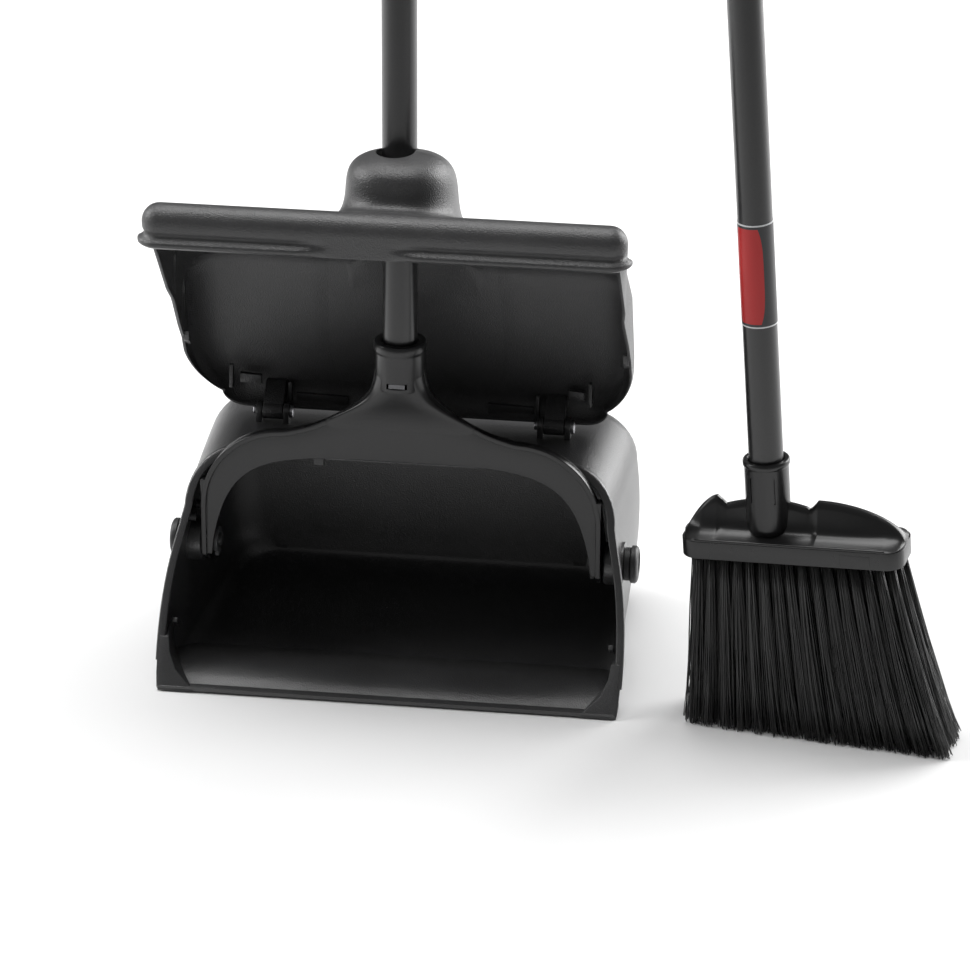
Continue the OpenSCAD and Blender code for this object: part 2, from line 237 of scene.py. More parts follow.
def join(objects, name):
    """Merges pieces into one object."""
    bpy.ops.object.select_all(action="DESELECT")
    for obj in objects:
        obj.select_set(True)
    bpy.context.view_layer.objects.active = objects[0]
    bpy.ops.object.join()
    objects[0].name = name
    objects[0].data.name = name
    return objects[0]


def place(obj, body, slot, materials, replaced, sharp=38):
    """Gives a finished piece its finish and its body, and hides the CAD nodes it stands for."""
    obj.data.polygons.foreach_set("use_smooth", [True] * len(obj.data.polygons))
    obj.data.set_sharp_from_angle(angle=math.radians(sharp))
    kinds = [p.material_index for p in obj.data.polygons]
    obj.data.materials.clear()
    for name in materials:
        obj.data.materials.append(bpy.data.materials[name])
    obj.data.polygons.foreach_set("material_index", [min(k, len(materials) - 1) for k in kinds])
    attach(obj, body)
    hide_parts(*replaced)


def refinish(name, material):
    """Gives a part that comes from the CAD model its finish."""
    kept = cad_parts[name].data.materials
    kept.clear()
    kept.append(bpy.data.materials[material])


# ---------------------------------------------------------------- materials

def node(tree, kind, **values):
    """Adds a node; a value goes to the input of that name, or to the node's own setting."""
    made = tree.nodes.new(kind)
    for key, value in values.items():
        if hasattr(made, key):
            setattr(made, key, value)
        else:
            made.inputs[key.replace("_", " ")].default_value = value
    return made


def feed(tree, sockets, values):
    """Links each value that is another node's output, and sets each that is a number or a colour."""
    for socket, value in zip(sockets, values):
        if isinstance(value, bpy.types.NodeSocket):
            tree.links.new(value, socket)
        else:
            socket.default_value = value


def mix_colour(tree, factor, first, second):
    """The first colour at factor 0, the second at 1."""
    made = node(tree, "ShaderNodeMix", data_type="RGBA")
    feed(tree, (made.inputs[0], made.inputs[6], made.inputs[7]), (factor, first, second))
    return made.outputs[2]


def maths(tree, operation, *values, clamp=False):
    """The result of one sum."""
    made = node(tree, "ShaderNodeMath", operation=operation, use_clamp=clamp)
    feed(tree, made.inputs, values)
    return made.outputs[0]


def spread(tree, value, low, high, to_low=0.0, to_high=1.0):
    """The value, with low to high spread over a new range and held inside it."""
    made = node(tree, "ShaderNodeMapRange", clamp=True)
    tree.links.new(value, made.inputs["Value"])
    for name, limit in (("From Min", low), ("From Max", high), ("To Min", to_low), ("To Max", to_high)):
        made.inputs[name].default_value = limit
    return made.outputs[0]


def group(name, inputs, outputs):
    """A new shader node group with named sockets: (name, kind, default) each."""
    tree = bpy.data.node_groups.new(name, "ShaderNodeTree")
    for label, kind, default in inputs:
        socket = tree.interface.new_socket(label, in_out="INPUT", socket_type=kind)
        socket.default_value = default
    for label, kind in outputs:
        tree.interface.new_socket(label, in_out="OUTPUT", socket_type=kind)
    return tree, tree.nodes.new("NodeGroupInput").outputs, tree.nodes.new("NodeGroupOutput").inputs


def make_grain_group():
    """Moulded grain: fine pebbled height with a slow unevenness."""
    tree, given, out = group(
        "Moulded Grain",
        [("Position", "NodeSocketVector", (0, 0, 0)), ("Grain Size", "NodeSocketFloat", 0.8),
         ("Waviness", "NodeSocketFloat", 0.3)],
        [("Height", "NodeSocketFloat"), ("Pits", "NodeSocketFloat")])
    size = maths(tree, "DIVIDE", 1000.0, given["Grain Size"])
    fine = node(tree, "ShaderNodeTexNoise", Detail=3.0, Roughness=0.6)
    cells = node(tree, "ShaderNodeTexVoronoi", feature="SMOOTH_F1", Smoothness=0.6)
    slow = node(tree, "ShaderNodeTexNoise", Scale=22.0, Detail=2.0)
    for made in (fine, cells, slow):
        tree.links.new(given["Position"], made.inputs["Vector"])
    tree.links.new(size, fine.inputs["Scale"])
    tree.links.new(size, cells.inputs["Scale"])
    pebble = maths(tree, "MULTIPLY", fine.outputs[0], cells.outputs[0])
    drift = maths(tree, "MULTIPLY", slow.outputs[0], given["Waviness"])
    tree.links.new(maths(tree, "ADD", pebble, drift), out["Height"])
    tree.links.new(spread(tree, pebble, 0.1, 0.4), out["Pits"])


def make_wear_group():
    """Use: rubbed patches, thin scratches and dust that lies low and on level faces."""
    tree, given, out = group(
        "Handling Wear",
        [("Position", "NodeSocketVector", (0, 0, 0)),
         ("Colour", "NodeSocketColor", (0.05, 0.05, 0.05, 1)),
         ("Rubbed Colour", "NodeSocketColor", (0.12, 0.12, 0.12, 1)),
         ("Dust Colour", "NodeSocketColor", (0.35, 0.34, 0.32, 1)),
         ("Roughness", "NodeSocketFloat", 0.4), ("Rubbed", "NodeSocketFloat", 0.3),
         ("Scratched", "NodeSocketFloat", 0.3), ("Dusty", "NodeSocketFloat", 0.1),
         ("Dust Height", "NodeSocketFloat", 0.05)],
        [("Colour", "NodeSocketColor"), ("Roughness", "NodeSocketFloat"),
         ("Scratches", "NodeSocketFloat")])
    patches = node(tree, "ShaderNodeTexNoise", Scale=9.0, Detail=4.0, Roughness=0.65)
    streaks = node(tree, "ShaderNodeTexNoise", Scale=60.0, Detail=2.0, Distortion=0.4)
    turn = node(tree, "ShaderNodeMapping", Scale=(1.0, 14.0, 1.4), Rotation=(0.35, 0.2, 0.5))
    specks = node(tree, "ShaderNodeTexNoise", Scale=700.0, Detail=2.0)
    tree.links.new(given["Position"], patches.inputs["Vector"])
    tree.links.new(given["Position"], turn.inputs["Vector"])
    tree.links.new(turn.outputs[0], streaks.inputs["Vector"])
    tree.links.new(given["Position"], specks.inputs["Vector"])
    rubbed = maths(tree, "MULTIPLY", spread(tree, patches.outputs[0], 0.48, 0.72), given["Rubbed"])
    lines = maths(tree, "MULTIPLY", spread(tree, streaks.outputs[0], 0.66, 0.7), given["Scratched"])
    split = tree.nodes.new("ShaderNodeSeparateXYZ")
    tree.links.new(given["Position"], split.inputs[0])
    raised = maths(tree, "DIVIDE", split.outputs[2], given["Dust Height"], clamp=True)
    low = maths(tree, "SUBTRACT", 1.0, raised, clamp=True)
    facing = tree.nodes.new("ShaderNodeNewGeometry")
    up = tree.nodes.new("ShaderNodeSeparateXYZ")
    tree.links.new(facing.outputs["Normal"], up.inputs[0])
    level = spread(tree, up.outputs[2], 0.2, 1.0, 0.25, 1.0)
    dust = maths(tree, "MULTIPLY", maths(tree, "ADD", low, 0.25), level)
    dust = maths(tree, "MULTIPLY", dust, spread(tree, specks.outputs[0], 0.45, 0.7))
    dust = maths(tree, "MULTIPLY", dust, given["Dusty"], clamp=True)
    colour = mix_colour(tree, rubbed, given["Colour"], given["Rubbed Colour"])
    colour = mix_colour(tree, maths(tree, "MULTIPLY", lines, 0.5), colour, given["Rubbed Colour"])
    colour = mix_colour(tree, dust, colour, given["Dust Colour"])
    tree.links.new(colour, out["Colour"])
    rough = maths(tree, "ADD", given["Roughness"], maths(tree, "MULTIPLY", rubbed, 0.18))
    rough = maths(tree, "ADD", rough, maths(tree, "MULTIPLY", lines, 0.15))
    rough = maths(tree, "ADD", rough, maths(tree, "MULTIPLY", dust, 0.5), clamp=True)
    tree.links.new(rough, out["Roughness"])
    tree.links.new(lines, out["Scratches"])


def tinted(colour, factor):
    """A colour made lighter or darker by a factor, with its alpha."""
    return (*(min(c * factor, 1) for c in colour[:3]), 1)


def moulded(name, colour, rough, grain=0.8, bump=0.3, waviness=0.3, rubbed=0.3, scratched=0.2,
            dusty=0.08, metallic=0.0, specular=0.5, coat=0.0, coat_rough=0.1, strands=False):
    """A finish made from the shared grain and wear groups, with its own values."""
    material = bpy.data.materials.new(name)
    material.use_nodes = True
    tree = material.node_tree
    shader = tree.nodes["Principled BSDF"]
    where = node(tree, "ShaderNodeTexCoord")
    texture = tree.nodes.new("ShaderNodeGroup")
    texture.node_tree = bpy.data.node_groups["Moulded Grain"]
    wear = tree.nodes.new("ShaderNodeGroup")
    wear.node_tree = bpy.data.node_groups["Handling Wear"]
    tree.links.new(where.outputs["Object"], texture.inputs["Position"])
    tree.links.new(where.outputs["Object"], wear.inputs["Position"])
    texture.inputs["Grain Size"].default_value = grain
    texture.inputs["Waviness"].default_value = waviness
    wear.inputs["Rubbed Colour"].default_value = tinted(colour, 1.9)
    wear.inputs["Roughness"].default_value = rough
    wear.inputs["Rubbed"].default_value = rubbed
    wear.inputs["Scratched"].default_value = scratched
    wear.inputs["Dusty"].default_value = dusty
    if strands:
        own = node(tree, "ShaderNodeAttribute", attribute_name="strand")
        ground = mix_colour(tree, own.outputs["Fac"], tinted(colour, 0.5), tinted(colour, 2.0))
    else:
        pits = maths(tree, "MULTIPLY", texture.outputs["Pits"], 0.45)
        ground = mix_colour(tree, pits, (*colour[:3], 1), tinted(colour, 1.35))
    tree.links.new(ground, wear.inputs["Colour"])
    tree.links.new(wear.outputs["Colour"], shader.inputs["Base Color"])
    tree.links.new(wear.outputs["Roughness"], shader.inputs["Roughness"])
    relief = node(tree, "ShaderNodeBump", Strength=bump, Distance=0.0004)
    height = maths(tree, "SUBTRACT", texture.outputs["Height"],
                   maths(tree, "MULTIPLY", wear.outputs["Scratches"], 0.15))
    tree.links.new(height, relief.inputs["Height"])
    tree.links.new(relief.outputs[0], shader.inputs["Normal"])
    shader.inputs["Metallic"].default_value = metallic
    shader.inputs["Specular IOR Level"].default_value = specular
    shader.inputs["Coat Weight"].default_value = coat
    shader.inputs["Coat Roughness"].default_value = coat_rough
    return material


# ---------------------------------------------------------------- cover

COVER_WALL = 2.4
COVER_SIDE = 154.0     # half width, down to where the rear starts to round in
ROUND_START = 215.0    # height of that place
BRIM_SPOT = (12, 340)  # centre of the brim's top edge, as (depth from the lip, height)
BRIM_HALF = 148
FLAP_SPOT = (134, 166)
FLAP_RADIUS = 16
DOME_MIDDLE = (2.5, 74.0)
DOME_HALF = 37.0       # half width of the dome
DOME_FRONT = 44.0      # half depths of the dome, ahead of its middle and behind it
DOME_REAR = 48.0
DOME_POWER = 2.4       # squareness of its outline
DOME_REACH = 1.56      # where the skirt of the dome runs out, in half widths
REAR_SLOPE = math.radians(13.8)


def cover_half_width(z):
    """Half width of the cover's rear at a height: it rounds in towards the flap."""
    low = 92 + 62 * np.sqrt(np.clip(1 - (np.clip(ROUND_START - z, 0, 66) / 67) ** 2, 0, 1))
    return np.where(z > ROUND_START, COVER_SIDE, low)


def dome_profile():
    """Section of the dome: share of its length, distance from its middle and share of its height."""
    knots = [(0, 1), (0.3, 0.99), (0.52, 0.965), (0.70, 0.915), (0.83, 0.845), (0.92, 0.75),
             (0.965, 0.64), (0.985, 0.52), (1.0, 0.40), (1.025, 0.29), (1.07, 0.185), (1.15, 0.095),
             (1.28, 0.032), (1.42, 0.006), (DOME_REACH, 0)]
    line = smooth_line(knots, 160)
    legs = np.hypot(np.diff(line[:, 0]) * DOME_HALF, np.diff(line[:, 1]) * 50)
    run = np.concatenate([[0], np.cumsum(legs)])
    return run / run[-1], line[:, 0], line[:, 1]


def cover_stations():
    """Stations from the top of the brim over the sloping back to the flap.

    Each is (centre of the edge rounding, outward direction, radius, half width, end of the side
    wall), with depths measured from the lip.
    """
    slope, back, rear = math.radians(61), math.radians(43), REAR_SLOPE
    made = []

    def turn(centre, start, end, count, radius, half):
        for t in np.linspace(0, 1, count):
            made.append([centre, start + (end - start) * t, radius, half])

    def run(first, last, angles, radii, halves, count):
        for t in np.linspace(0, 1, count + 2)[1:-1]:
            mix = [a + (b - a) * t for a, b in zip((*first, angles[0], radii[0], halves[0]),
                                                   (*last, angles[1], radii[1], halves[1]))]
            made.append([(mix[0], mix[1]), mix[2], mix[3], mix[4]])

    turn(BRIM_SPOT, math.pi, slope, 9, 12, BRIM_HALF)
    run(BRIM_SPOT, (70, 293), (slope, slope), (12, 24), (BRIM_HALF, 129), 28)
    turn((70, 293), slope, back, 4, 24, 129)
    run((70, 293), (100, 262), (back, back), (24, 26), (129, 128), 14)
    turn((100, 262), back, rear, 7, 26, 128)
    first = len(made)
    for t in np.linspace(0, 1, 25)[1:]:
        y, z, radius = 100 + 34 * t, 262 - 96 * t, 26 - 10 * t
        made.append([(y, z), rear, radius, float(cover_half_width(z)) - radius])
    for k, station in enumerate(made):
        if k < first:
            g = k / (first - 1)
            station.append((12 + 80 * g, 324.5 - 98.5 * g))
        else:
            t = (k - first + 1) / 24
            z = 226 - 60 * t
            y = 92 + (226 - z) * 0.85 if z > 220 else 97 + 37 * ((220 - z) / 54) ** 1.2
            station.append((y, z))
    return made


def build_cover(sizes):
    """Hood with a rolled brim, a dome with the pole's slot, inner ribs and two hinge arms."""
    bead = sizes.brim_bead / MM
    across = np.concatenate([np.linspace(-1, -0.45, 12, endpoint=False),
                             np.linspace(-0.45, 0.47, 91), np.linspace(0.47, 1, 13)[1:]])
    corner = np.linspace(0, math.pi / 2, 9)
    skirt_rows = 16

    def ring(centre, angle, radius, half, brim=None):
        """Left corner, middle and right corner of one station."""
        ny, nz = math.cos(angle), math.sin(angle)
        points = []
        for a in corner[:-1]:
            out = radius * math.sin(a)
            points.append([-half - radius * math.cos(a), centre[0] + out * ny, centre[1] + out * nz])
        points += [[half * a, centre[0] + radius * ny, centre[1] + radius * nz] for a in across]
        for a in corner[::-1][1:]:
            out = radius * math.sin(a)
            points.append([half + radius * math.cos(a), centre[0] + out * ny, centre[1] + out * nz])
        if brim is not None:
            for p in points:
                fade = 1 - float(smoothstep(-60, -30, p[0]) * (1 - smoothstep(2, 28, p[0])))
                out = bead * fade * math.exp(-((brim - 327.8) / 2.7) ** 4)
                out -= 1.3 * fade * math.exp(-((brim - 333.2) / 2.0) ** 2)
                flat = Vector((p[0] - max(-half, min(half, p[0])), p[1] - centre[0]))
                flat = flat.normalized() * out if flat.length > TINY else Vector((0, 0))
                p[0] += flat.x
                p[1] += flat.y
        return [(p[0], p[1] + LIP_Y, p[2]) for p in points]

    stations = cover_stations()
    spine = np.array([(c[0] + r * math.cos(a), c[1] + r * math.sin(a)) for c, a, r, _, _ in stations])
    share, reach, lift = dome_profile()
    mid_x, mid_y = DOME_MIDDLE

    def raised(points):
        """Points of one ring, those near the dome drawn up over it."""
        done = []
        for x, y, z in points:
            ahead = y - LIP_Y - mid_y
            dx, dy = (x - mid_x) / DOME_HALF, ahead / (DOME_FRONT if y - LIP_Y < mid_y else DOME_REAR)
            far = (abs(dx) ** DOME_POWER + abs(dy) ** DOME_POWER) ** (1 / DOME_POWER)
            t = far / DOME_REACH
            if t >= 1 or z < 255 or far < TINY:
                done.append((x, y, 374.0 if far < TINY else z))
                continue
            factor = float(np.interp(t, share, reach)) / far
            x, yd = mid_x + (x - mid_x) * factor, mid_y + ahead * factor
            base = float(np.interp(yd, spine[:, 0], spine[:, 1]))
            crown = 379.0 - 0.07 * max(yd - 44, 0) - 0.22 * max(yd - 64, 0)
            height = max(crown - base, 0) * float(np.interp(t, share, lift))
            done.append((x, yd + LIP_Y, base + height))
        return done

    shape = Shape()
    heights = np.linspace(324.5, 340, skirt_rows)
    shape.grid([ring((12, z), math.pi, 12, BRIM_HALF, brim=z) for z in heights])
    rows = []
    for centre, angle, radius, half, end in stations:
        middle = raised(ring(centre, angle, radius, half))
        wall = []
        for t in np.linspace(0, 1, skirt_rows)[:-1]:
            y, z = end[0] + (centre[0] - end[0]) * t, end[1] + (centre[1] - end[1]) * t
            width = min(half + radius, float(cover_half_width(z)) + 0.4)
            blend = float(smoothstep(0, 1, t))
            wall.append(((1 - blend) * width + blend * (half + radius), y + LIP_Y, z))
        rows.append([(-x, y, z) for x, y, z in wall] + middle + wall[::-1])
    shape.grid(rows)
    flap = []
    flap_half = float(cover_half_width(FLAP_SPOT[1])) - FLAP_RADIUS
    for t in np.linspace(0, 1, 9):
        angle = REAR_SLOPE + (math.radians(-62) - REAR_SLOPE) * t
        flap.append(ring(FLAP_SPOT, angle, FLAP_RADIUS, flap_half))
    shape.grid(flap)
    hood = shape.build("cover_shell")
    modify(hood, "SOLIDIFY", thickness=COVER_WALL * MM, offset=-1, use_even_offset=True,
           use_quality_normals=True, material_offset=1, material_offset_rim=0, thickness_clamp=1.0)
    slot = Shape()
    outline = circle(12.75, 25, (0, -17), 0, math.pi) + circle(12.75, 25, (0, -37), math.pi, math.pi)
    slot.prism(outline, 345, 400, "Z")
    cut(slot.build("slot_cutter"), hood)
    soften(hood, 0.5, 55)

    extra = Shape()
    for side in (-1, 1):
        x = side * HINGE_X
        arm = [(25, 155), (38, 150), (44, 152), (48.4, 160), (48.4, 172), (43, 171), (34, 163)]
        extra.prism(arm, x - 7, x + 7, "X", kind=1)
        extra.lathe([(3.08, -7), (6, -7), (6, 7), (3.08, 7)], crosswise(1, (x, *HINGE)), 28, kind=1,
                    closed=True)
    for x, y, low, high in ((-127, 33, 171, 187), (-88.2, 44.5, 154, 171), (84.8, 44.5, 154, 171),
                            (122.5, 34, 171, 187)):
        rib = [(y - 5, low), (y + 3.4, low), (y + 1.0, high), (y - 2, high)]
        extra.prism(rib, x - 1.3, x + 1.3, "X", kind=1)
    for x0, x1, y, z0 in ((-122, -107, 37, 172), (-84, -48, 45.2, 155.5), (50, 82, 45.2, 155.5),
                          (107, 118, 38, 172)):
        bar = [(x0, z0), (x1, z0), (x1, z0 + 6), (x0, z0 + 7)]
        extra.prism(bar, y - 1.2, y + 2.6, "Y", kind=1)
    for side in (-1, 1):
        outline = [(-5, 219.5), (3, 213.0), (5, 216.5), (-1, 225), (-5, 226)]
        extra.prism(outline, side * 148.6, side * 152.4, "X")
    inner = extra.build("cover_arms")
    soften(inner, 0.4, 35)
    joined = join([hood, inner], "cover_hood")
    # The inner faces take the cover's second finish, whose darker colour is painted shade
    place(joined, "cover_body", "cover_plastic", ["Cover Outside", "Cover Inside"], ["cover"])


# ---------------------------------------------------------------- pan

PAN_WALL = 2.6
PAN_DEPTH = 186.0       # the depths that the pan's section is given for
PAN_FLOOR = 1.5         # heights of the floor's underside, the shoulder and the top
PAN_SHOULDER = 111.0
PAN_TOP = 147.0
BACK_START = 75.0       # place where the back starts to round in, and the radius of its rounding
BACK_ROUND = 30.0


def pan_section(yd):
    """Half widths of the pan at a depth: floor, flare half way up, and shoulder."""
    floor = 158 - 15 * yd / PAN_DEPTH
    flare = 160.5 - 8.5 * float(smoothstep(40, 84, yd)) + 1.5 * float(smoothstep(100, 150, yd))
    shoulder = 146.2 + 4.8 * float(smoothstep(20, PAN_DEPTH, yd))
    return floor, flare, shoulder


def pan_outline(yd, inset=0.0):
    """Outline of the pan at a depth, as (X, Z), from the floor's middle round the right side."""
    floor, flare, shoulder = pan_section(yd)
    low = PAN_FLOOR + inset
    high = PAN_TOP - inset
    foot = 2 + 12 * float(smoothstep(0, 60, yd))
    foot = max(foot - inset * 0.5, 1.5)
    crown = 36 - inset
    right = [(x, low) for x in np.linspace(0, floor - inset - foot, 22, endpoint=False)]
    right += [(floor - inset - foot + foot * math.sin(t), low + foot - foot * math.cos(t))
              for t in np.linspace(0, math.pi / 2, 8)]
    for z in np.linspace(low + foot, PAN_SHOULDER, 16)[1:-1]:
        t = (z - PAN_FLOOR) / (PAN_SHOULDER - PAN_FLOOR)
        x = (1 - t) ** 2 * floor + 2 * t * (1 - t) * (flare + 4) + t * t * shoulder
        right.append((x - inset, z))
    right += [(shoulder - inset - crown + crown * math.cos(t), PAN_SHOULDER + crown * math.sin(t))
              for t in np.linspace(0, math.pi / 2, 12)]
    right += [(x, high) for x in np.linspace(shoulder - inset - crown, 0, 14)[1:]]
    left = [(-x, z) for x, z in right[-2:0:-1]]
    return right + left


def mouth_y(z):
    """Place of the slanting mouth at a height."""
    return LIP_Y + (z - 4.6) * math.tan(math.radians(30))


def pan_ring(step, inset=0.0, pull=0.0):
    """One ring of the pan's skin: step 0 is the mouth, 1 the start of the rounded back.

    Each point's depth follows from its height and its height from its depth, so both are found in
    a few turns.
    """
    points = []
    lines = {}
    for j in range(len(pan_outline(0))):
        y = LIP_Y + 60.0
        for _ in range(4):
            key = round(min(max(y - LIP_Y, 0.0), PAN_DEPTH), 1)
            if key not in lines:
                lines[key] = pan_outline(key, inset)
            x, z = lines[key][j]
            start = mouth_y(z) - pull
            y = start + (BACK_START - start) * step
        points.append((x, y, z))
    return points


def build_pan():
    """Scoop with flared walls, thick mouth rim, lip, gussets, bosses, ears and a rounded back."""
    rings = [pan_ring(t) for t in np.linspace(0, 1, 30)]
    last = pan_outline(BACK_START - LIP_Y)
    middle_z = 76.0
    for k in range(1, 9):
        turn = math.radians(90 * k / 8)
        shrink = BACK_ROUND * (1 - math.cos(turn))
        rings.append([(x * (1 - shrink / 151), BACK_START + BACK_ROUND * math.sin(turn),
                       z + (middle_z - z) * shrink / 73 * (0.45 if z < 30 else 1.0)) for x, z in last])
    flat = rings[-1]
    for f in (0.75, 0.45, 0.2):
        rings.append([(x * f, y, middle_z + (z - middle_z) * f) for x, y, z in flat])
    shape = Shape()
    shape.grid(rings, close=True)
    n = len(last)
    shape.add(rings[-1] + [(0, BACK_START + BACK_ROUND, middle_z)],
              [(j, (j + 1) % n, n) for j in range(n)])
    body = shape.build("pan_shell")
    modify(body, "SOLIDIFY", thickness=PAN_WALL * MM, offset=-1, use_even_offset=True,
           use_quality_normals=True, material_offset=1, material_offset_rim=0)
    bake(body)
    soften(body, 0.5, 50)

    rim = Shape()
    outer, mid = pan_ring(0, -1.2), pan_ring(0, 4.4)
    outer_back, mid_back = pan_ring(0, -1.2, -6.0), pan_ring(0, 4.4, -6.0)
    loops = []
    for j in range(n):
        if outer[j][2] > 13:
            corners = [Vector(p) for p in (outer[j], mid[j], mid_back[j], outer_back[j])]
            loops.append([tuple(a.lerp(b, t)) for a, b in zip(corners, corners[1:] + corners[:1])
                          for t in (0.14, 0.5, 0.86)])
    rim.sweep(loops)
    edge = rim.build("pan_rim")
    soften(edge, 0.5, 35)

    parts = Shape()
    lip = [(-100.6, 0.1), (-99.4, 0.0), (-86, 0.0), (-83, 2.0), (-83, 4.0), (-99.5, 1.5), (-100.6, 0.9)]
    parts.prism(lip, -157.4, 157.4, "X")
    ramp = [(-99.2, 1.4), (-95, 4.6), (-88, 8.0), (-77, 10.6), (-66, 11.4), (-55, 10.2), (-44, 7.0),
            (-34, 3.9)]
    ramp = [tuple(p) for p in smooth_line(ramp, 30)] + [(-34, 3.0), (-99.2, 1.0)]
    parts.prism(ramp, -151, 151, "X", kind=1)
    for side in (-1, 1):
        rings = []
        for deep, far in ((-0.6, 0), (12, 2), (38, 8)):
            ring = []
            for x, z, outer in ((158, 1.2, True), (132, 1.2, False), (137, 6, False), (146, 14, False),
                                (150.5, 24, False), (152, 33, False), (158, 33, True)):
                y = mouth_y(z) + deep
                skin = pan_outline(min(max(y - LIP_Y, 0), PAN_DEPTH))
                wall = max(p[0] for p in skin if abs(p[1] - z) < 9) - 1.2
                ring.append((side * (wall if outer else min(x + far, wall - 0.6)), y, z))
            rings.append(ring)
        parts.sweep(rings)
        axis = crosswise(side, (0, *PIVOT))
        boss = [(5.05, 139), (14, 139), (15, 140.2), (15, 152.5), (5.05, 152.5)]
        parts.lathe(boss, axis, 48, closed=True)
        parts.lathe([(9.0, 138.6), (11, 138.6), (11, 140), (9.0, 140)], axis, 40, closed=True)
        peg = [(0, 142.8), (3.4, 142.8), (3.0, 144.4), (3.0, 147.6), (0, 147.6)]
        for y, z in ((-4, 96), (-24, 96), (4, 60)):
            parts.lathe(peg, crosswise(side, (0, y, z)), 20)
        for sign in (-1, 1):
            x0 = side * HINGE_X + (7.5 if sign > 0 else -11.5)
            ear = circle(6, 19, HINGE, 0.0, math.pi) + [(26, 144.5), (38, 144.5)]
            parts.prism(ear, x0, x0 + 4, "X")
            x0 = side * AXLE_X + (5.6 if sign > 0 else -8.6)
            fork = [(103.2, 11), (112, 9.4)] + circle(7, 15, AXLE, -1.9, 3.8)
            parts.prism(fork + [(112, 22.6), (103.2, 21)], x0, x0 + 3, "X")
        gusset = [(-72, 38), (-58, 28), (-56, 30), (-70, 40.5)]
        parts.prism(gusset, side * 148.5, side * 151.8, "X", kind=1)
    small = parts.build("pan_parts")
    soften(small, 0.45, 35)
    joined = join([body, edge, small], "pan_scoop")
    # The inner faces and the ramp take the pan's second finish, whose near-black colour is painted shade
    place(joined, "pan", "pan_plastic", ["Pan Outside", "Pan Inside"], ["pan_body"])


# ---------------------------------------------------------------- yoke

ARCH_POINTS = 110   # points of each half of the arch
WEB_FRONT = -17.5   # depths of the web in the handle's own frame
WEB_BACK = -12.5


def arch_line():
    """Outside of the arch, from the left leg's foot to the right's, with the flare to the socket."""
    left = [(-138, -4)] + circle(58, 24, (-80, 33), math.pi, -math.radians(84))
    flare = [(-78, 91.2), (-58, 97), (-37.5, 108.5), (-26, 117.5), (-20, 126), (-17.6, 135), (-17, 140)]
    left += [tuple(p) for p in smooth_line(flare, 40)]
    left = even_line(left, ARCH_POINTS)
    return [tuple(p) for p in left] + [(-p[0], p[1]) for p in left[::-1]]


def opening_line():
    """Opening under the arch, rounder at its corners and thinner towards the feet."""
    right = [(0, 72.5), (30, 72.4), (60, 71.4), (84, 67.6), (100, 61.5), (112, 52), (120.5, 39),
             (126, 24), (129.5, 9), (131, -4)]
    line = smooth_line(right, ARCH_POINTS)
    return [(-p[0], p[1]) for p in line[::-1]] + [tuple(p) for p in line]


def offset_line(line, amount):
    """A line moved towards its right-hand side by amount."""
    p = np.asarray(line, float)
    run = np.gradient(p, axis=0)
    run /= np.linalg.norm(run, axis=1)[:, None]
    return p + np.stack([run[:, 1], -run[:, 0]], 1) * amount


def build_yoke():
    """Arched fork with a flange, side plates, a flared neck and a rimmed socket."""
    outer, inner = arch_line(), opening_line()
    web = Shape()
    web.sweep([[(ax, WEB_FRONT, az), (bx, WEB_FRONT, bz), (bx, WEB_BACK, bz), (ax, WEB_BACK, az)]
               for (ax, az), (bx, bz) in zip(outer, inner)], matrix=HANDLE)
    half = outer[:ARCH_POINTS]
    flange_in = offset_line(half, 3.5)
    for side in (-1, 1):
        rings = []
        for (ax, az), (bx, bz) in zip(half, flange_in):
            if ax > -50:
                break
            deep = 20.0 - 2.4 * float(smoothstep(-86, -50, ax))
            rings.append([(-side * ax, -deep, az), (-side * bx, -deep, bz),
                          (-side * bx, -12.0, bz), (-side * ax, -12.0, az)])
        web.sweep(rings, matrix=HANDLE)
        foot = circle(14, 25, (0, 0), math.pi, math.pi)
        foot += [(12.5, 14), (-8, 40), (-12, 52), (-20, 52), (-17.5, 14)]
        web.prism(foot, side * 134, side * 138, "X", matrix=HANDLE)
        web.lathe([(5.1, 133.2), (8.5, 133.2), (9, 134), (9, 134.5), (5.1, 134.5)],
                  HANDLE @ crosswise(side), 36, closed=True)
    stud = [(-59.5, 66.5), (-52.5, 66.5), (-52.5, 73), (-59.5, 73)]
    web.prism(stud, -17.2, -13, "Y", matrix=HANDLE)
    arch = web.build("yoke_web")
    soften(arch, 0.8, 40, 3)

    neck = Shape()
    rings = []
    side_line = np.array([p for p in half if p[1] > 93])
    for z in np.linspace(94.0, 139.0, 31):
        t = float(smoothstep(92, 139, z))
        wide = float(np.interp(z, side_line[:, 1], -side_line[:, 0])) - 0.15
        deep = 2.45 + 14.5 * t ** 1.2
        power = 2 / (2 + 5 * (1 - t) ** 1.5)
        ring = []
        for a in np.linspace(0, 2 * math.pi, 64, endpoint=False):
            c, s = math.cos(a), math.sin(a)
            ring.append((wide * math.copysign(abs(c) ** power, c),
                         YOKE_OFF + deep * math.copysign(abs(s) ** power, s), z))
        rings.append(ring)
    neck.sweep(rings, matrix=HANDLE)
    flare = neck.build("yoke_neck")
    rising = Shape()
    socket = [(16.6, 128), (17, 129), (17, 152.8), (17.3, 154.2), (17.9, 155.2), (17.9, 160), (17.2, 161),
              (13.0, 161), (12.0, 160.2), (11.9, 158), (11.9, 128)]
    rising.lathe(socket, HANDLE @ Matrix.Translation((0, YOKE_OFF, 0)), 72, closed=True)
    tube = rising.build("yoke_socket")
    hole = Shape()
    hole.prism([(-7, 131), (7, 131), (7, 135), (-7, 135)], -36, -24, "Y", matrix=HANDLE)
    cut(hole.build("slot_cutter"), flare, tube)
    soften(flare, 0.6, 50)
    joined = join([arch, flare, tube], "yoke_fork")
    place(joined, "handle", "yoke_plastic", ["Yoke Plastic"], ["yoke"])


# ---------------------------------------------------------------- poles and small parts

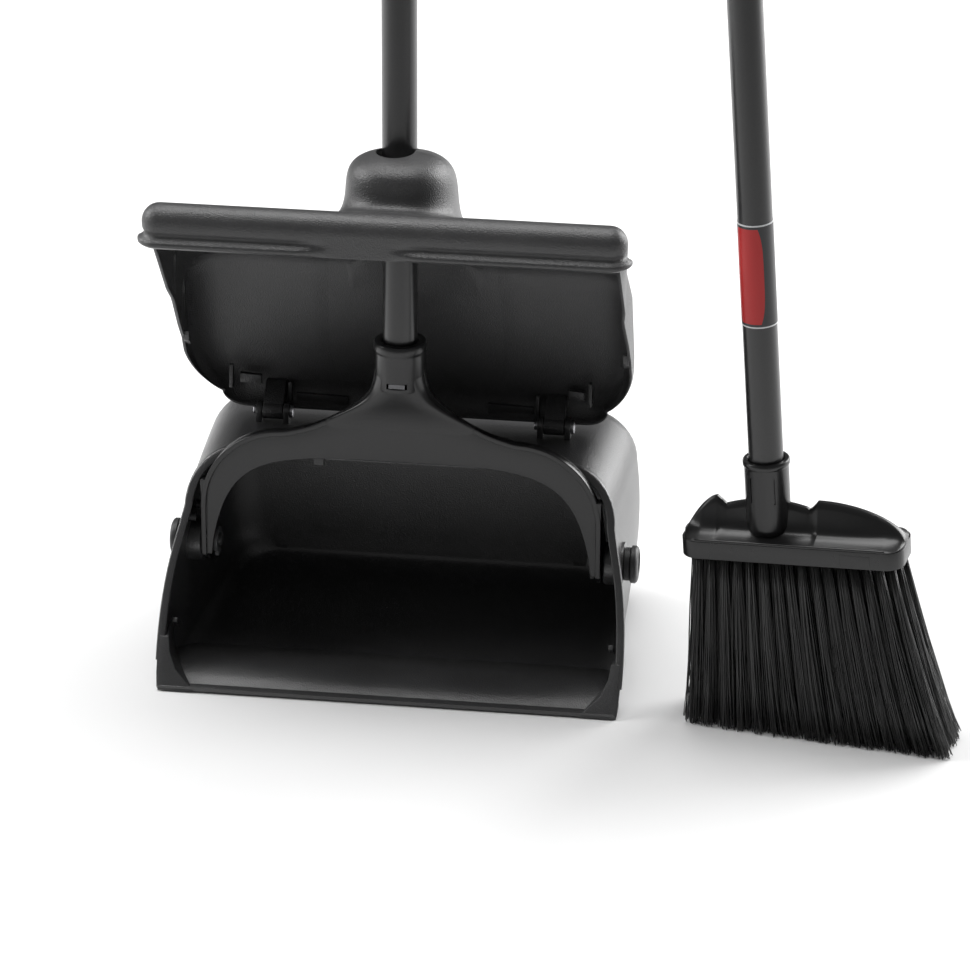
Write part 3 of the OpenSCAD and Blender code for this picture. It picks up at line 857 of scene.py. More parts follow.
def build_poles():
    """The two coated tubes, the lock tab's finish and the two hang-up caps."""
    handle = HANDLE @ Matrix.Translation((0, YOKE_OFF, 0))
    for name, matrix, radius, low, high, body, turn in (
            ("pan_pole", handle, 11.75, 123, 832, "handle", 0),
            ("broom_pole", HEAD, 11.5, 159.5, 921.5, "broom", math.pi / 2)):
        tube = Shape()
        steps = [(radius, low + (high - low) * k / 12) for k in range(13)]
        inside = [(radius - 1.2, low + (high - low) * k / 12) for k in range(12, -1, -1)]
        tube.lathe(steps + inside, matrix, 72, closed=True)
        place(tube.build(name + "_tube"), body, "pole_coat", ["Pole Coat"], [name])
        cap = Shape()
        start = high - 15
        sleeve = [(radius + 0.03, start + 0.2), (12.4, start), (13, start + 0.8), (13, start + 24),
                  (12.4, start + 26.4), (0, start + 26.9), (0, start + 15.2),
                  (radius + 0.03, start + 15.2)]
        cap.lathe(sleeve, matrix, 60)
        tab_z, tab_half, eye = start + 36, 6.5, 4.5
        outside = [(12.5, start + 25)] + circle(12.5, 33, (0, tab_z), 0, math.pi) + [(-12.5, start + 25)]
        ring_out = even_line(outside + [outside[0]], 65)[:-1]
        angles = [math.atan2(p[1] - tab_z, p[0]) for p in ring_out]
        ring_in = [(eye * math.cos(a), tab_z + eye * math.sin(a)) for a in angles]
        loops = [[(-tab_half, *o), (tab_half, *o), (tab_half, *i), (-tab_half, *i)]
                 for o, i in zip(ring_out, ring_in)]
        cap.sweep(loops, matrix=matrix @ Matrix.Rotation(turn, 4, "Z"), joined=True)
        made = cap.build(name + "_end_cap")
        soften(made, 0.7, 50)
        place(made, body, "cap_plastic", ["Cap Plastic"], [name + "_cap"])
    refinish("pole_lock_tab", "Lock Metal")


def build_pivots():
    """Pivot bolts with dished heads, spacers and clips, hinge pins, wheels and wheel pins."""
    for side, tag in ((-1, "left"), (1, "right")):
        axis = crosswise(side, (0, *PIVOT))
        bolt = Shape()
        bolt.lathe([(0, 127), (4.2, 127), (5, 127.8), (5, 157.3), (12.6, 157.3), (13, 157.8),
                    (13, 160.2), (12.2, 161.4), (10.5, 162.2), (8.6, 162.3), (8.0, 161.5), (0, 161.3)],
                   axis, 56)
        place(bolt.build("pivot_bolt_head_" + tag), "pan", "bolt_plastic", ["Bolt Plastic"],
              ["pivot_bolt_" + tag])
        collar = Shape()
        collar.lathe([(5.05, 152.7), (11, 152.7), (11.5, 153.2), (11.5, 156.6), (11, 157.1),
                      (5.05, 157.1)], axis, 48, closed=True)
        place(collar.build("pivot_collar_" + tag), "pan", "bolt_plastic", ["Bolt Plastic"],
              ["pivot_spacer_" + tag])
        clip = Shape()
        clip.lathe([(5.05, 129.1), (8.6, 129.1), (9, 129.5), (9, 131.6), (8.6, 132), (5.05, 132)],
                   axis, 40, closed=True)
        clip.prism([(-17.8, 63.8), (-10.2, 63.8), (-9.8, 69.5), (-18.2, 69.5)],
                   side * 129.2, side * 131.9, "X")
        made = clip.build("pivot_catch_" + tag)
        soften(made, 0.3, 40)
        place(made, "pan", "bolt_plastic", ["Clip Plastic"], ["pivot_clip_" + tag])
        pin = Shape()
        pin.lathe([(0, -14), (2.6, -14), (3, -13.5), (3, 11.6), (4.4, 11.6), (4.6, 12.2), (4.3, 13.6),
                   (3, 14), (0, 14)], crosswise(1, (side * HINGE_X, *HINGE)), 32)
        place(pin.build("hinge_pin_" + tag), "pan", "pin_steel", ["Pin Steel"], ["cover_pin_" + tag])
        hub = crosswise(1, (side * AXLE_X, *AXLE))
        roller = Shape()
        roller.lathe([(3.1, -4.6), (6, -5), (6.2, -3.4), (11.6, -3.1), (12.2, -5), (14.2, -5),
                      (15, -4.2), (15, 4.2), (14.2, 5), (12.2, 5), (11.6, 3.1), (6.2, 3.4), (6, 5),
                      (3.1, 4.6)], hub, 64, closed=True)
        place(roller.build("roller_" + tag), "wheel_" + tag + "_body", "wheel_plastic",
              ["Wheel Plastic"], ["wheel_" + tag])
        axle = Shape()
        axle.lathe([(0, -9.5), (2.6, -9.5), (3, -9), (3, 8.8), (4.4, 8.8), (4.6, 9.4), (4.2, 10.4),
                    (0, 10.6)], hub, 28)
        place(axle.build("axle_" + tag), "pan", "pin_steel", ["Pin Steel"], ["wheel_pin_" + tag])
    for tag in ("left", "centre", "right"):
        refinish("tread_" + tag, "Tread Plastic")


# ---------------------------------------------------------------- broom

HEAD_LEFT, HEAD_RIGHT = -57, 93   # ends of the shroud
HEAD_FOOT = 139.6                 # height of its lower edge
PEAK_Z = 165                      # height of its two peaks


def head_top(x):
    """Height of the shroud's upper edge along its length."""
    if x < -34:
        t = (x - HEAD_LEFT) / 23
        return 139.5 + 25.5 * (1 - (1 - t) ** 1.7)
    if x < -28:
        return PEAK_Z - 5.5 * (x + 34) / 6
    if x < 28:
        return 159.5 + 4.5 * (1 - (x / 28) ** 2)
    if x < 34:
        return 158.8 + 6.2 * ((x - 28) / 6) ** 1.4
    t = min((x - 34) / 59, 1)
    return 139.5 + 25.5 * max(1 - t ** 1.9, 0) ** 0.58


def build_head():
    """Shroud with two peaked wings and a slit socket, and the band that holds the tufts."""
    shape = Shape()
    places = list(np.linspace(-56.9, -34.2, 20)) + [-34.0, -33.2, -31.0, -28.0]
    places += list(np.linspace(-27.2, 27.2, 30)) + [28.0, 30.0, 32.4, 34.0]
    places += list(np.linspace(34.4, 92.9, 48))
    rings = []
    for x in places:
        top = max(head_top(x), 141.2)
        wing = 1.5 * float(smoothstep(32.5, 34.2, abs(x)))
        end = min(x - HEAD_LEFT, HEAD_RIGHT - x)
        foot = 20.6 * math.sqrt(max(1 - (1 - min(end / 9, 1)) ** 2, 0.02))
        high = top - HEAD_FOOT
        ring = []
        for v in np.linspace(0, 1, 18) ** 1.7:
            z = HEAD_FOOT + high * v
            lean = 2.6 + (foot - 2.6) * math.exp(-(z - HEAD_FOOT) / 2.1)
            lean += 4.6 * (1 - v) * min(end / 12, 1)
            lean = min(lean + wing * (1 - v) * (v > 0.05), foot + 0.1)
            edge = 1 - 0.5 * max((v - 0.9) / 0.1, 0) ** 2
            ring.append((x, -max(lean, 2.2) * edge, z))
        back = [(x, -p[1], p[2]) for p in ring[::-1]]
        rings.append(ring + back)
    shape.sweep(rings, matrix=HEAD)
    shroud = shape.build("head_shroud")
    soften(shroud, 0.5, 42)

    socket = Shape()
    boss = [(0, 137.5), (6, 137.8), (10.5, 139.4), (13.6, 142.6), (14.8, 147), (14.8, 189),
            (15.2, 190), (15.6, 190.6), (15.6, 193.2), (15.0, 194), (12.8, 194), (11.8, 193),
            (11.6, 191), (11.6, 160), (0, 160)]
    socket.lathe(boss, HEAD, 72)
    tube = socket.build("head_socket")
    slits = Shape()
    for turn in (-58, -122, 58, 122):
        slits.prism([(14.0, -0.55), (17, -0.55), (17, 0.55), (14.0, 0.55)], 166, 184, "Z",
                    matrix=HEAD @ Matrix.Rotation(math.radians(turn), 4, "Z"))
    cut(slits.build("slit_cutter"), tube)
    trim = Shape()
    for side in (-1, 1):
        y = side * 21.0
        trim.sweep([[(x, y - side * 1.6, 139.3), (x, y, 139.5), (x, y - side * 0.2, 141.0),
                     (x, y - side * 1.8, 141.4)] for x in np.linspace(-46, 82, 30)], matrix=HEAD)
    beads = trim.build("head_ledge")
    soften(beads, 0.35, 35)
    joined = join([shroud, tube, beads], "head_cowl")
    place(joined, "broom", "head_plastic", ["Head Plastic"], ["broom_head"])

    band = Shape()
    corners = []
    for cx, cy, start in ((81, 9, 0), (-45, 9, 90), (-45, -9, 180), (81, -9, 270)):
        corners += circle(12, 10, (cx, cy), math.radians(start), math.pi / 2)
    band.prism(corners, 127.1, 139.4, "Z", matrix=HEAD)
    for y in (-21.2, 20.8):
        band.prism([(52, 129.5), (72, 129.5), (72, 136.8), (52, 136.8)], y, y + 0.4, "Y", matrix=HEAD)
    block = band.build("tuft_band")
    soften(block, 1.0, 50, 3)
    place(block, "broom", "block_plastic", ["Band Plastic"], ["brush_block"])

    refinish("tuft_staples", "Pin Steel")
    refinish("broom_thread_plug", "Lock Metal")


def build_label():
    """Sleeve label with light end rings and one plain coloured panel."""
    low, tall = 290, 71
    profile = [(11.52, low), (11.76, low)] + [(11.78, low + tall * k / 40) for k in range(41)]
    profile += [(11.76, low + tall), (11.52, low + tall)]
    shape = Shape()
    shape.lathe(profile, HEAD, 96, closed=True)
    sleeve = shape.build("pole_label")
    uv = sleeve.data.uv_layers.new(name="Wrap")
    back = HEAD.inverted()
    for polygon in sleeve.data.polygons:
        spots = []
        for i in polygon.loop_indices:
            p = back @ (sleeve.data.vertices[sleeve.data.loops[i].vertex_index].co / MM)
            spots.append([i, math.atan2(p.y, p.x) / (2 * math.pi) % 1.0, (p.z - low) / tall])
        if max(s[1] for s in spots) - min(s[1] for s in spots) > 0.5:
            for s in spots:
                s[1] += 1.0 if s[1] < 0.5 else 0.0
        for i, u, v in spots:
            uv.data[i].uv = (u, v)
    place(sleeve, "broom", "label_film", ["Label Film"], ["broom_label"])


def make_label_material(finish):
    """Printed film: dark ground, light rings at both ends and a plain panel with bowed sides."""
    material = moulded("Label Film", finish.label_ground, 0.36, grain=0.3, bump=0.06, rubbed=0.0,
                       scratched=0.0, dusty=0.04)
    tree = material.node_tree
    where = node(tree, "ShaderNodeUVMap", uv_map="Wrap")
    split = tree.nodes.new("ShaderNodeSeparateXYZ")
    tree.links.new(where.outputs[0], split.inputs[0])
    around = maths(tree, "ABSOLUTE", maths(tree, "SUBTRACT", split.outputs[0], 0.700))
    along = maths(tree, "ABSOLUTE", maths(tree, "SUBTRACT", split.outputs[1], 0.5))
    ring = maths(tree, "GREATER_THAN", along, 0.486)
    bow = maths(tree, "SUBTRACT", 0.148, maths(tree, "MULTIPLY", maths(tree, "POWER", along, 4.0), 0.9))
    panel = maths(tree, "MULTIPLY", maths(tree, "LESS_THAN", around, bow),
                  maths(tree, "LESS_THAN", along, 0.462))
    wear = next(n for n in tree.nodes if n.type == "GROUP" and n.node_tree.name == "Handling Wear")
    ground = wear.inputs["Colour"].links[0].from_socket
    colour = mix_colour(tree, panel, ground, (*finish.label_panel[:3], 1))
    colour = mix_colour(tree, ring, colour, (0.62, 0.63, 0.64, 1))
    tree.links.new(colour, wear.inputs["Colour"])


def tuft_tree():
    """Geometry Nodes tree that grows one row of flagged tufts from the band to the floor."""
    tree = bpy.data.node_groups.new("Tuft Row", "GeometryNodeTree")
    for label, kind, default in (
            ("Geometry", "NodeSocketGeometry", None), ("Tufts", "NodeSocketInt", 16),
            ("Strands per Tuft", "NodeSocketInt", 60), ("Strand Radius", "NodeSocketFloat", 0.00035),
            ("Row Place", "NodeSocketFloat", 0.0), ("Band Start", "NodeSocketFloat", -0.050),
            ("Band End", "NodeSocketFloat", 0.086), ("Sweep Start", "NodeSocketFloat", -0.060),
            ("Sweep End", "NodeSocketFloat", 0.122), ("Band Height", "NodeSocketFloat", 0.1295),
            ("Tuft Radius", "NodeSocketFloat", 0.0023), ("Splay", "NodeSocketFloat", 0.0048),
            ("Seed", "NodeSocketInt", 1), ("Material", "NodeSocketMaterial", None)):
        socket = tree.interface.new_socket(label, in_out="INPUT", socket_type=kind)
        if default is not None:
            socket.default_value = default
    tree.interface.new_socket("Geometry", in_out="OUTPUT", socket_type="NodeSocketGeometry")
    add, link = tree.nodes.new, tree.links.new
    given = add("NodeGroupInput").outputs

    def calc(operation, *values):
        return maths(tree, operation, *values)

    def chance(low, high, shift, each=None):
        """A random value for each strand, or one for all that share the number each."""
        made = add("FunctionNodeRandomValue")
        made.data_type = "FLOAT"
        made.inputs["Min"].default_value = low
        made.inputs["Max"].default_value = high
        if each is not None:
            link(each, made.inputs["ID"])
        link(calc("ADD", given["Seed"], float(shift)), made.inputs["Seed"])
        return made.outputs["Value"]

    def vector(x, y, z):
        made = add("ShaderNodeCombineXYZ")
        feed(tree, made.inputs, (x, y, z))
        return made.outputs[0]

    def between(first, last, factor):
        """The point on the way from the first to the last, past its end as well."""
        made = add("ShaderNodeMix")
        made.data_type = "VECTOR"
        made.clamp_factor = False
        feed(tree, (made.inputs[0], made.inputs[4], made.inputs[5]), (factor, first, last))
        parts = add("ShaderNodeSeparateXYZ")
        link(made.outputs[1], parts.inputs[0])
        return parts.outputs

    total = calc("MULTIPLY", given["Tufts"], given["Strands per Tuft"])
    points = add("GeometryNodePoints")
    link(total, points.inputs["Count"])
    index = add("GeometryNodeInputIndex").outputs[0]
    tuft = calc("FLOOR", calc("DIVIDE", calc("ADD", index, 0.5), given["Strands per Tuft"]))
    share = calc("DIVIDE", calc("ADD", tuft, 0.5), given["Tufts"])
    tuft_shift = chance(-0.0022, 0.0022, 90, tuft)
    angle = chance(0.0, 6.2832, 11)
    reach = calc("SQRT", chance(0.0, 1.0, 12))
    out_x = calc("MULTIPLY", calc("COSINE", angle), reach)
    out_y = calc("MULTIPLY", calc("SINE", angle), reach)

    def along(place):
        """The tuft's own place between the start and the end of the band or the sweep."""
        start, end = given[place + " Start"], given[place + " End"]
        return calc("ADD", start, calc("MULTIPLY", share, calc("SUBTRACT", end, start)))

    root_x = calc("ADD", along("Band"), calc("MULTIPLY", out_x, given["Tuft Radius"]))
    root_y = calc("ADD", given["Row Place"], calc("MULTIPLY", out_y, given["Tuft Radius"]))
    cosine, sine = math.cos(HEAD_TILT), math.sin(HEAD_TILT)
    root = vector(calc("SUBTRACT", calc("MULTIPLY", root_x, cosine),
                       calc("MULTIPLY", given["Band Height"], sine)), root_y,
                  calc("ADD", calc("MULTIPLY", root_x, sine),
                       calc("MULTIPLY", given["Band Height"], cosine)))
    stray_x = calc("ADD", calc("MULTIPLY", out_x, given["Splay"]), chance(-0.0028, 0.0028, 13))
    stray_y = calc("ADD", calc("MULTIPLY", out_y, given["Splay"]), chance(-0.0015, 0.0015, 14))
    tip_x = calc("ADD", along("Sweep"), calc("ADD", stray_x, tuft_shift))
    tip_y = calc("ADD", calc("MULTIPLY", given["Row Place"], 1.22), stray_y)
    short = calc("POWER", chance(0.0, 1.0, 15), 3.0)
    tip = vector(tip_x, tip_y, calc("ADD", 0.0006, calc("MULTIPLY", short, 0.0055)))
    bend = vector(chance(-0.0016, 0.0016, 16), chance(-0.0012, 0.0012, 17), 0.0)

    def keep(geometry, value, kind="VECTOR"):
        """Holds a value on the points, so that it stays the same along each strand."""
        made = add("GeometryNodeCaptureAttribute")
        made.capture_items.new(kind, "Value")
        link(geometry, made.inputs[0])
        link(value, made.inputs[1])
        return made.outputs[0], made.outputs[1]

    cloud, root = keep(points.outputs[0], root)
    cloud, tip = keep(cloud, tip)
    cloud, bend = keep(cloud, bend)
    cloud, shade = keep(cloud, chance(0.0, 1.0, 18), "FLOAT")
    cloud, phase = keep(cloud, chance(0.0, 6.28, 19), "FLOAT")

    line = add("GeometryNodeCurvePrimitiveLine")
    line.inputs["End"].default_value = (0, 0, 1)
    cut = add("GeometryNodeResampleCurve")
    cut.inputs["Count"].default_value = 7
    link(line.outputs[0], cut.inputs["Curve"])
    copies = add("GeometryNodeInstanceOnPoints")
    link(cloud, copies.inputs["Points"])
    link(cut.outputs[0], copies.inputs["Instance"])
    single = add("GeometryNodeRealizeInstances")
    link(copies.outputs[0], single.inputs[0])
    factor = add("GeometryNodeSplineParameter").outputs["Factor"]
    flare = calc("ADD", calc("MULTIPLY", factor, 0.8),
                 calc("MULTIPLY", calc("POWER", factor, 2.2), 0.2))
    flat = between(root, tip, flare)
    level = between(root, tip, factor)
    bow = add("ShaderNodeVectorMath")
    bow.operation = "SCALE"
    link(bend, bow.inputs[0])
    link(calc("SINE", calc("MULTIPLY", factor, math.pi)), bow.inputs["Scale"])
    ripple = calc("SINE", calc("ADD", calc("MULTIPLY", factor, 15.0), phase))
    wave = calc("MULTIPLY", calc("MULTIPLY", ripple, factor), 0.00035)
    moved = add("ShaderNodeVectorMath")
    moved.operation = "ADD"
    link(vector(calc("ADD", flat[0], wave), calc("SUBTRACT", flat[1], wave), level[2]), moved.inputs[0])
    link(bow.outputs[0], moved.inputs[1])
    laid = add("GeometryNodeSetPosition")
    link(single.outputs[0], laid.inputs["Geometry"])
    link(moved.outputs[0], laid.inputs["Position"])
    ring = add("GeometryNodeCurvePrimitiveCircle")
    ring.inputs["Resolution"].default_value = 3
    link(given["Strand Radius"], ring.inputs["Radius"])
    skin = add("GeometryNodeCurveToMesh")
    link(laid.outputs[0], skin.inputs["Curve"])
    link(ring.outputs[0], skin.inputs["Profile Curve"])
    skin.inputs["Fill Caps"].default_value = True
    mark = add("GeometryNodeStoreNamedAttribute")
    mark.data_type = "FLOAT"
    mark.domain = "POINT"
    mark.inputs["Name"].default_value = "strand"
    link(skin.outputs[0], mark.inputs["Geometry"])
    link(shade, mark.inputs["Value"])
    final = add("GeometryNodeRealizeInstances")
    link(mark.outputs[0], final.inputs[0])
    dressed = add("GeometryNodeSetMaterial")
    link(final.outputs[0], dressed.inputs["Geometry"])
    link(given["Material"], dressed.inputs["Material"])
    link(dressed.outputs[0], add("NodeGroupOutput").inputs[0])
    return tree


def build_tufts(sizes):
    """Five rows of fanned tufts, each row a body of thin flagged strands."""
    tree = bpy.data.node_groups.get("Tuft Row") or tuft_tree()
    names = {item.name: item.identifier for item in tree.interface.items_tree
             if item.in_out == "INPUT"}
    for k in range(1, 6):
        mesh = bpy.data.meshes.new(f"tuft_row_{k}")
        row = bpy.data.objects.new(f"tuft_row_{k}", mesh)
        bpy.context.scene.collection.objects.link(row)
        mod = row.modifiers.new("Tufts", "NODES")
        mod.node_group = tree
        stagger = 0.0022 if k % 2 else -0.0022
        for label, value in (("Tufts", sizes.tufts), ("Strands per Tuft", sizes.strands),
                             ("Strand Radius", sizes.strand_radius), ("Row Place", (k - 3) * 0.0076),
                             ("Band Start", -0.0515 + stagger), ("Band End", 0.0875 + stagger),
                             ("Seed", 100 * k), ("Material", bpy.data.materials["Tuft Fibre"])):
            mod[names[label]] = value
        bake(row)
        spot = (BROOM_SPOT[0] * MM, BROOM_SPOT[1] * MM, 0)
        row.data.transform(Matrix.Translation(spot) @ Matrix.Rotation(BROOM_TURN, 4, "Z"))
        place(row, "broom", "bristle_fibre", ["Tuft Fibre"], [f"bristle_row_{k}"], sharp=180)


# ---------------------------------------------------------------- stage

def build_stage(finish):
    """Pale floor, soft studio lights and the camera."""
    scene = bpy.context.scene
    mesh = bpy.data.meshes.new("studio_floor")
    mesh.from_pydata([(-9, -6, 0), (9, -6, 0), (9, 12, 0), (-9, 12, 0)], [], [(0, 1, 2, 3)])
    floor = bpy.data.objects.new("studio_floor", mesh)
    scene.collection.objects.link(floor)
    material = bpy.data.materials.new("Studio Floor")
    material.use_nodes = True
    shader = material.node_tree.nodes["Principled BSDF"]
    shader.inputs["Base Color"].default_value = (*finish.floor_tone[:3], 1)
    shader.inputs["Roughness"].default_value = 0.75
    shader.inputs["Specular IOR Level"].default_value = 0.2
    mesh.materials.append(material)

    world = scene.world or bpy.data.worlds.new("Studio")
    scene.world = world
    world.use_nodes = True
    tree = world.node_tree
    tree.nodes.clear()
    seen = node(tree, "ShaderNodeBackground", Color=(1, 1, 1, 1), Strength=1.0)
    fill = node(tree, "ShaderNodeBackground", Color=(1, 1, 1, 1), Strength=0.16)
    path = tree.nodes.new("ShaderNodeLightPath")
    both = tree.nodes.new("ShaderNodeMixShader")
    tree.links.new(path.outputs["Is Camera Ray"], both.inputs[0])
    tree.links.new(fill.outputs[0], both.inputs[1])
    tree.links.new(seen.outputs[0], both.inputs[2])
    tree.links.new(both.outputs[0], tree.nodes.new("ShaderNodeOutputWorld").inputs[0])
    for name, spot, aim, size, power in (
            ("left_panel", (-2.3, 0.2, 1.5), (0.0, 0.0, 0.2), 1.7, 55),
            ("right_panel", (2.0, 1.7, 1.1), (0.1, 0.0, 0.2), 2.0, 85),
            ("top_panel", (-0.2, 0.4, 3.1), (0.05, 0.1, 0.0), 2.2, 80)):
        data = bpy.data.lights.new(name, "AREA")
        data.shape = "SQUARE"
        data.size = size
        data.energy = power
        lamp = bpy.data.objects.new(name, data)
        lamp.location = spot
        lamp.rotation_euler = (Vector(aim) - Vector(spot)).to_track_quat("-Z", "Y").to_euler()
        scene.collection.objects.link(lamp)

    turn, rise, distance, sensor = math.radians(8.04), math.radians(25), 3.2, 36
    ahead = Vector((-math.sin(turn) * math.cos(rise), math.cos(turn) * math.cos(rise), -math.sin(rise)))
    data = bpy.data.cameras.new("camera")
    data.sensor_width = sensor
    data.lens = 4672 / 970 * sensor
    data.clip_end = 50
    camera = bpy.data.objects.new("camera", data)
    camera.location = Vector((0.0542, 0.0, 0.1215)) - ahead * distance
    camera.rotation_euler = ahead.to_track_quat("-Z", "Y").to_euler()
    scene.collection.objects.link(camera)
    scene.camera = camera
    scene.view_settings.view_transform = "Standard"


def make_materials(finish):
    """Every finish of the object, from the two shared effect groups."""
    make_grain_group()
    make_wear_group()
    shell = finish.shell_colour
    moulded("Cover Outside", shell, 0.38, grain=0.9, bump=1.0, waviness=0.1, rubbed=0.3,
            dusty=0.02, specular=0.7)
    # The cover's inner skin is the same plastic as its outside; its colour, darkened to 0.55 of the
    # shell, is painted shade for the underside of the hood
    moulded("Cover Inside", tinted(shell, 0.55), 0.15, grain=3.0, bump=0.006, waviness=0.3, rubbed=0.12,
            dusty=0.0, specular=0.9)
    moulded("Pan Outside", shell, 0.30, grain=0.9, bump=0.7, waviness=0.1, rubbed=0.4, scratched=0.3,
            dusty=0.03, specular=0.9)
    # The pan's inner skin is the same plastic as its outside; its near-black colour, 0.08 of the shell,
    # is painted shade for the hollow of the scoop
    moulded("Pan Inside", tinted(shell, 0.08), 0.13, grain=3.0, bump=0.006, waviness=0.3, rubbed=0.12,
            scratched=0.15, dusty=0.002, specular=0.32)
    moulded("Yoke Plastic", finish.yoke_colour, 0.28, grain=1.8, bump=0.05, rubbed=0.25, dusty=0.01)
    moulded("Pole Coat", finish.pole_colour, 0.30, grain=1.6, bump=0.07, rubbed=0.2, scratched=0.2,
            dusty=0.02, coat=0.25, coat_rough=0.18)
    moulded("Cap Plastic", finish.yoke_colour, 0.42, grain=0.8, bump=0.25, rubbed=0.4)
    moulded("Bolt Plastic", tinted(shell, 0.8), 0.42, grain=0.9, bump=0.3, rubbed=0.5)
    moulded("Clip Plastic", tinted(shell, 2.2), 0.4, grain=0.9, bump=0.2, rubbed=0.3)
    moulded("Tread Plastic", tinted(shell, 1.2), 0.6, grain=0.7, bump=0.4, rubbed=0.8,
            scratched=0.8, dusty=0.4)
    moulded("Wheel Plastic", tinted(shell, 1.4), 0.5, grain=0.8, bump=0.3, rubbed=0.6,
            scratched=0.5, dusty=0.3)
    moulded("Pin Steel", (0.45, 0.45, 0.47), 0.34, grain=0.4, bump=0.1, rubbed=0.3, scratched=0.5,
            metallic=1.0)
    moulded("Lock Metal", (0.12, 0.12, 0.125), 0.38, grain=0.4, bump=0.1, rubbed=0.4,
            scratched=0.4, metallic=1.0)
    moulded("Head Plastic", tinted(finish.yoke_colour, 0.6), 0.28, grain=1.8, bump=0.06,
            rubbed=0.3, dusty=0.01)
    moulded("Band Plastic", tinted(finish.yoke_colour, 0.5), 0.26, grain=1.8, bump=0.06,
            rubbed=0.3, dusty=0.01)
    moulded("Tuft Fibre", finish.fibre_colour, 0.36, grain=0.5, bump=0.05, rubbed=0.2, scratched=0.0,
            dusty=0.05, specular=0.7, strands=True)
    make_label_material(finish)


# ---------------------------------------------------------------- settings, operators and panel

class BroomPanSizes(bpy.types.PropertyGroup):
    """Sizes that a user would change."""
    brim_bead: bpy.props.FloatProperty(
        name="Brim bead", description="How far the bead under the cover's brim stands out",
        default=0.0032, min=0.0, max=0.005, precision=4, unit="LENGTH", subtype="DISTANCE")
    tufts: bpy.props.IntProperty(
        name="Tufts in a row", description="Number of tufts in each of the five rows",
        default=16, min=8, max=22)
    strands: bpy.props.IntProperty(
        name="Strands in a tuft", description="Number of bristle strands in each tuft",
        default=64, min=10, max=110)
    strand_radius: bpy.props.FloatProperty(
        name="Strand radius", description="Radius of one bristle strand",
        default=0.00036, min=0.0001, max=0.001, precision=5, unit="LENGTH", subtype="DISTANCE")


class BroomPanFinish(bpy.types.PropertyGroup):
    """Colours that a user would change."""
    shell_colour: bpy.props.FloatVectorProperty(
        name="Shell", description="Colour of the pan's and the cover's plastic",
        default=(0.032, 0.032, 0.033), subtype="COLOR", size=3, min=0, max=1)
    yoke_colour: bpy.props.FloatVectorProperty(
        name="Yoke and broom head", description="Colour of the smoother moulded plastic",
        default=(0.012, 0.012, 0.0125), subtype="COLOR", size=3, min=0, max=1)
    pole_colour: bpy.props.FloatVectorProperty(
        name="Poles", description="Colour of the coat on both poles",
        default=(0.012, 0.012, 0.0125), subtype="COLOR", size=3, min=0, max=1)
    fibre_colour: bpy.props.FloatVectorProperty(
        name="Tufts", description="Colour of the bristle strands",
        default=(0.011, 0.011, 0.011), subtype="COLOR", size=3, min=0, max=1)
    label_panel: bpy.props.FloatVectorProperty(
        name="Label panel", description="Colour of the plain panel on the broom's label",
        default=(0.43, 0.007, 0.007), subtype="COLOR", size=3, min=0, max=1)
    label_ground: bpy.props.FloatVectorProperty(
        name="Label ground", description="Colour of the label round its panel",
        default=(0.022, 0.022, 0.024), subtype="COLOR", size=3, min=0, max=1)
    floor_tone: bpy.props.FloatVectorProperty(
        name="Floor", description="Colour of the studio floor",
        default=(0.86, 0.86, 0.86), subtype="COLOR", size=3, min=0, max=1)


def sizes_of(context):
    """The scene's sizes."""
    return context.scene.broom_pan_sizes


def finish_of(context):
    """The scene's colours."""
    return context.scene.broom_pan_finish


class BROOMPAN_OT_materials(bpy.types.Operator):
    """Make every finish of the pan and the broom"""
    bl_idname = "broom_pan.materials"
    bl_label = "Materials"

    def execute(self, context):
        make_materials(finish_of(context))
        return {"FINISHED"}


class BROOMPAN_OT_stage(bpy.types.Operator):
    """Set up the floor, the lights and the camera"""
    bl_idname = "broom_pan.stage"
    bl_label = "Stage"

    def execute(self, context):
        build_stage(finish_of(context))
        return {"FINISHED"}


class BROOMPAN_OT_cover(bpy.types.Operator):
    """Build the hinged cover with its brim and dome"""
    bl_idname = "broom_pan.cover"
    bl_label = "Cover"

    def execute(self, context):
        build_cover(sizes_of(context))
        return {"FINISHED"}


class BROOMPAN_OT_pan(bpy.types.Operator):
    """Build the pan's scoop with its rim, lip and ears"""
    bl_idname = "broom_pan.pan"
    bl_label = "Pan"

    def execute(self, context):
        build_pan()
        return {"FINISHED"}


class BROOMPAN_OT_yoke(bpy.types.Operator):
    """Build the arched yoke with its socket"""
    bl_idname = "broom_pan.yoke"
    bl_label = "Yoke"

    def execute(self, context):
        build_yoke()
        return {"FINISHED"}


class BROOMPAN_OT_poles(bpy.types.Operator):
    """Build the poles and their end caps"""
    bl_idname = "broom_pan.poles"
    bl_label = "Poles and caps"

    def execute(self, context):
        build_poles()
        return {"FINISHED"}


class BROOMPAN_OT_pivots(bpy.types.Operator):
    """Build the bolts, collars, clips, hinge pins, rollers and axles"""
    bl_idname = "broom_pan.pivots"
    bl_label = "Pivots and rollers"

    def execute(self, context):
        build_pivots()
        return {"FINISHED"}


class BROOMPAN_OT_head(bpy.types.Operator):
    """Build the broom's head and the band that holds its tufts"""
    bl_idname = "broom_pan.head"
    bl_label = "Broom head"

    def execute(self, context):
        build_head()
        return {"FINISHED"}


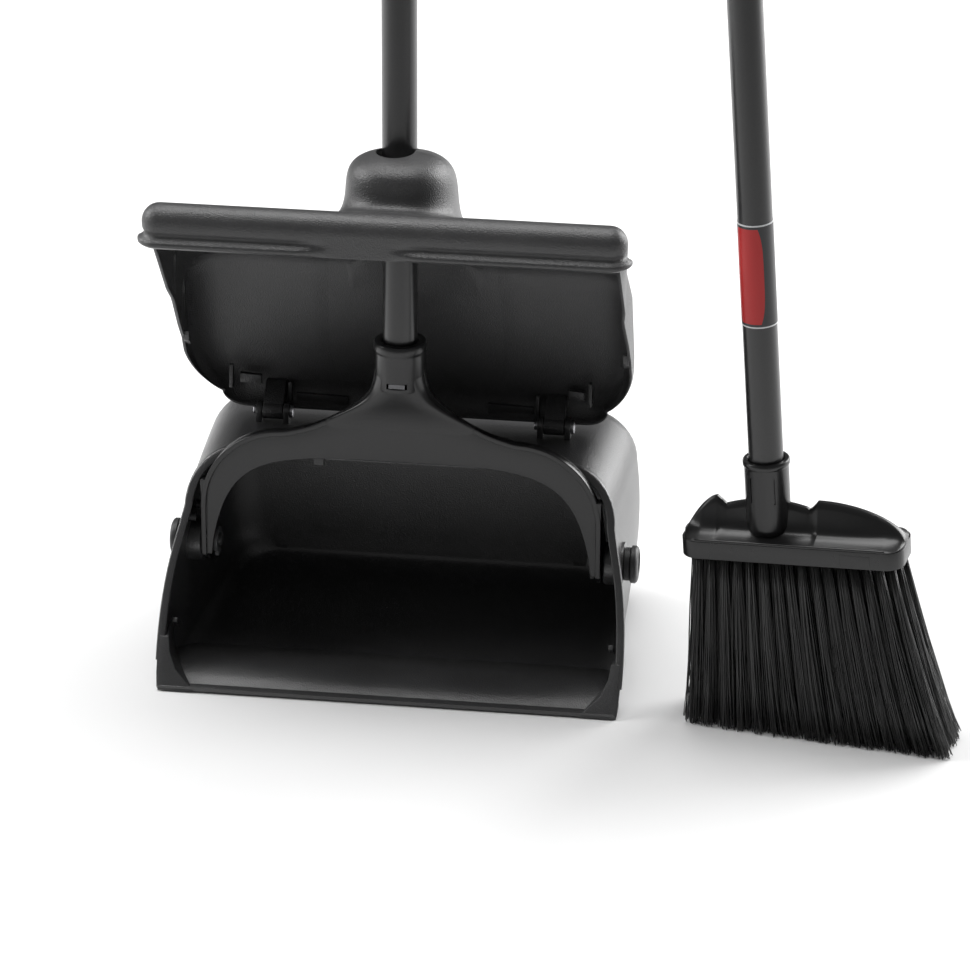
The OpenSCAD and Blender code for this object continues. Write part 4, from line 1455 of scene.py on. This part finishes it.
class BROOMPAN_OT_tufts(bpy.types.Operator):
    """Grow the five rows of tufts"""
    bl_idname = "broom_pan.tufts"
    bl_label = "Tufts"

    def execute(self, context):
        build_tufts(sizes_of(context))
        return {"FINISHED"}


class BROOMPAN_OT_label(bpy.types.Operator):
    """Build the plain label on the broom's pole"""
    bl_idname = "broom_pan.label"
    bl_label = "Label"

    def execute(self, context):
        build_label()
        return {"FINISHED"}


OPERATORS = (
    BROOMPAN_OT_materials, BROOMPAN_OT_stage, BROOMPAN_OT_cover, BROOMPAN_OT_pan, BROOMPAN_OT_yoke,
    BROOMPAN_OT_poles, BROOMPAN_OT_pivots, BROOMPAN_OT_head, BROOMPAN_OT_tufts, BROOMPAN_OT_label,
)


class BROOMPAN_PT_panel(bpy.types.Panel):
    """Sizes, colours and building steps of the dust pan and broom"""
    bl_idname = "BROOMPAN_PT_panel"
    bl_label = "Dust Pan and Broom"
    bl_space_type = "VIEW_3D"
    bl_region_type = "UI"
    bl_category = "Dust Pan"

    def draw(self, context):
        for settings in (sizes_of(context), finish_of(context)):
            column = self.layout.column()
            for name in settings.__annotations__:
                column.prop(settings, name)
        column = self.layout.column()
        for operator in OPERATORS:
            column.operator(operator.bl_idname)


CLASSES = (BroomPanSizes, BroomPanFinish) + OPERATORS + (BROOMPAN_PT_panel,)


def register():
    """Adds the settings, the operators and the panel."""
    for cls in CLASSES:
        bpy.utils.register_class(cls)
    bpy.types.Scene.broom_pan_sizes = bpy.props.PointerProperty(type=BroomPanSizes)
    bpy.types.Scene.broom_pan_finish = bpy.props.PointerProperty(type=BroomPanFinish)


def unregister():
    """Takes them away again."""
    del bpy.types.Scene.broom_pan_finish
    del bpy.types.Scene.broom_pan_sizes
    for cls in reversed(CLASSES):
        bpy.utils.unregister_class(cls)


def main():
    """Registers the add-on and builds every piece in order."""
    register()
    steps = bpy.ops.broom_pan
    for name in ("materials", "stage", "cover", "pan", "yoke", "poles", "pivots", "head", "tufts",
                 "label"):
        getattr(steps, name)()


if __name__ == "__main__":
    main()
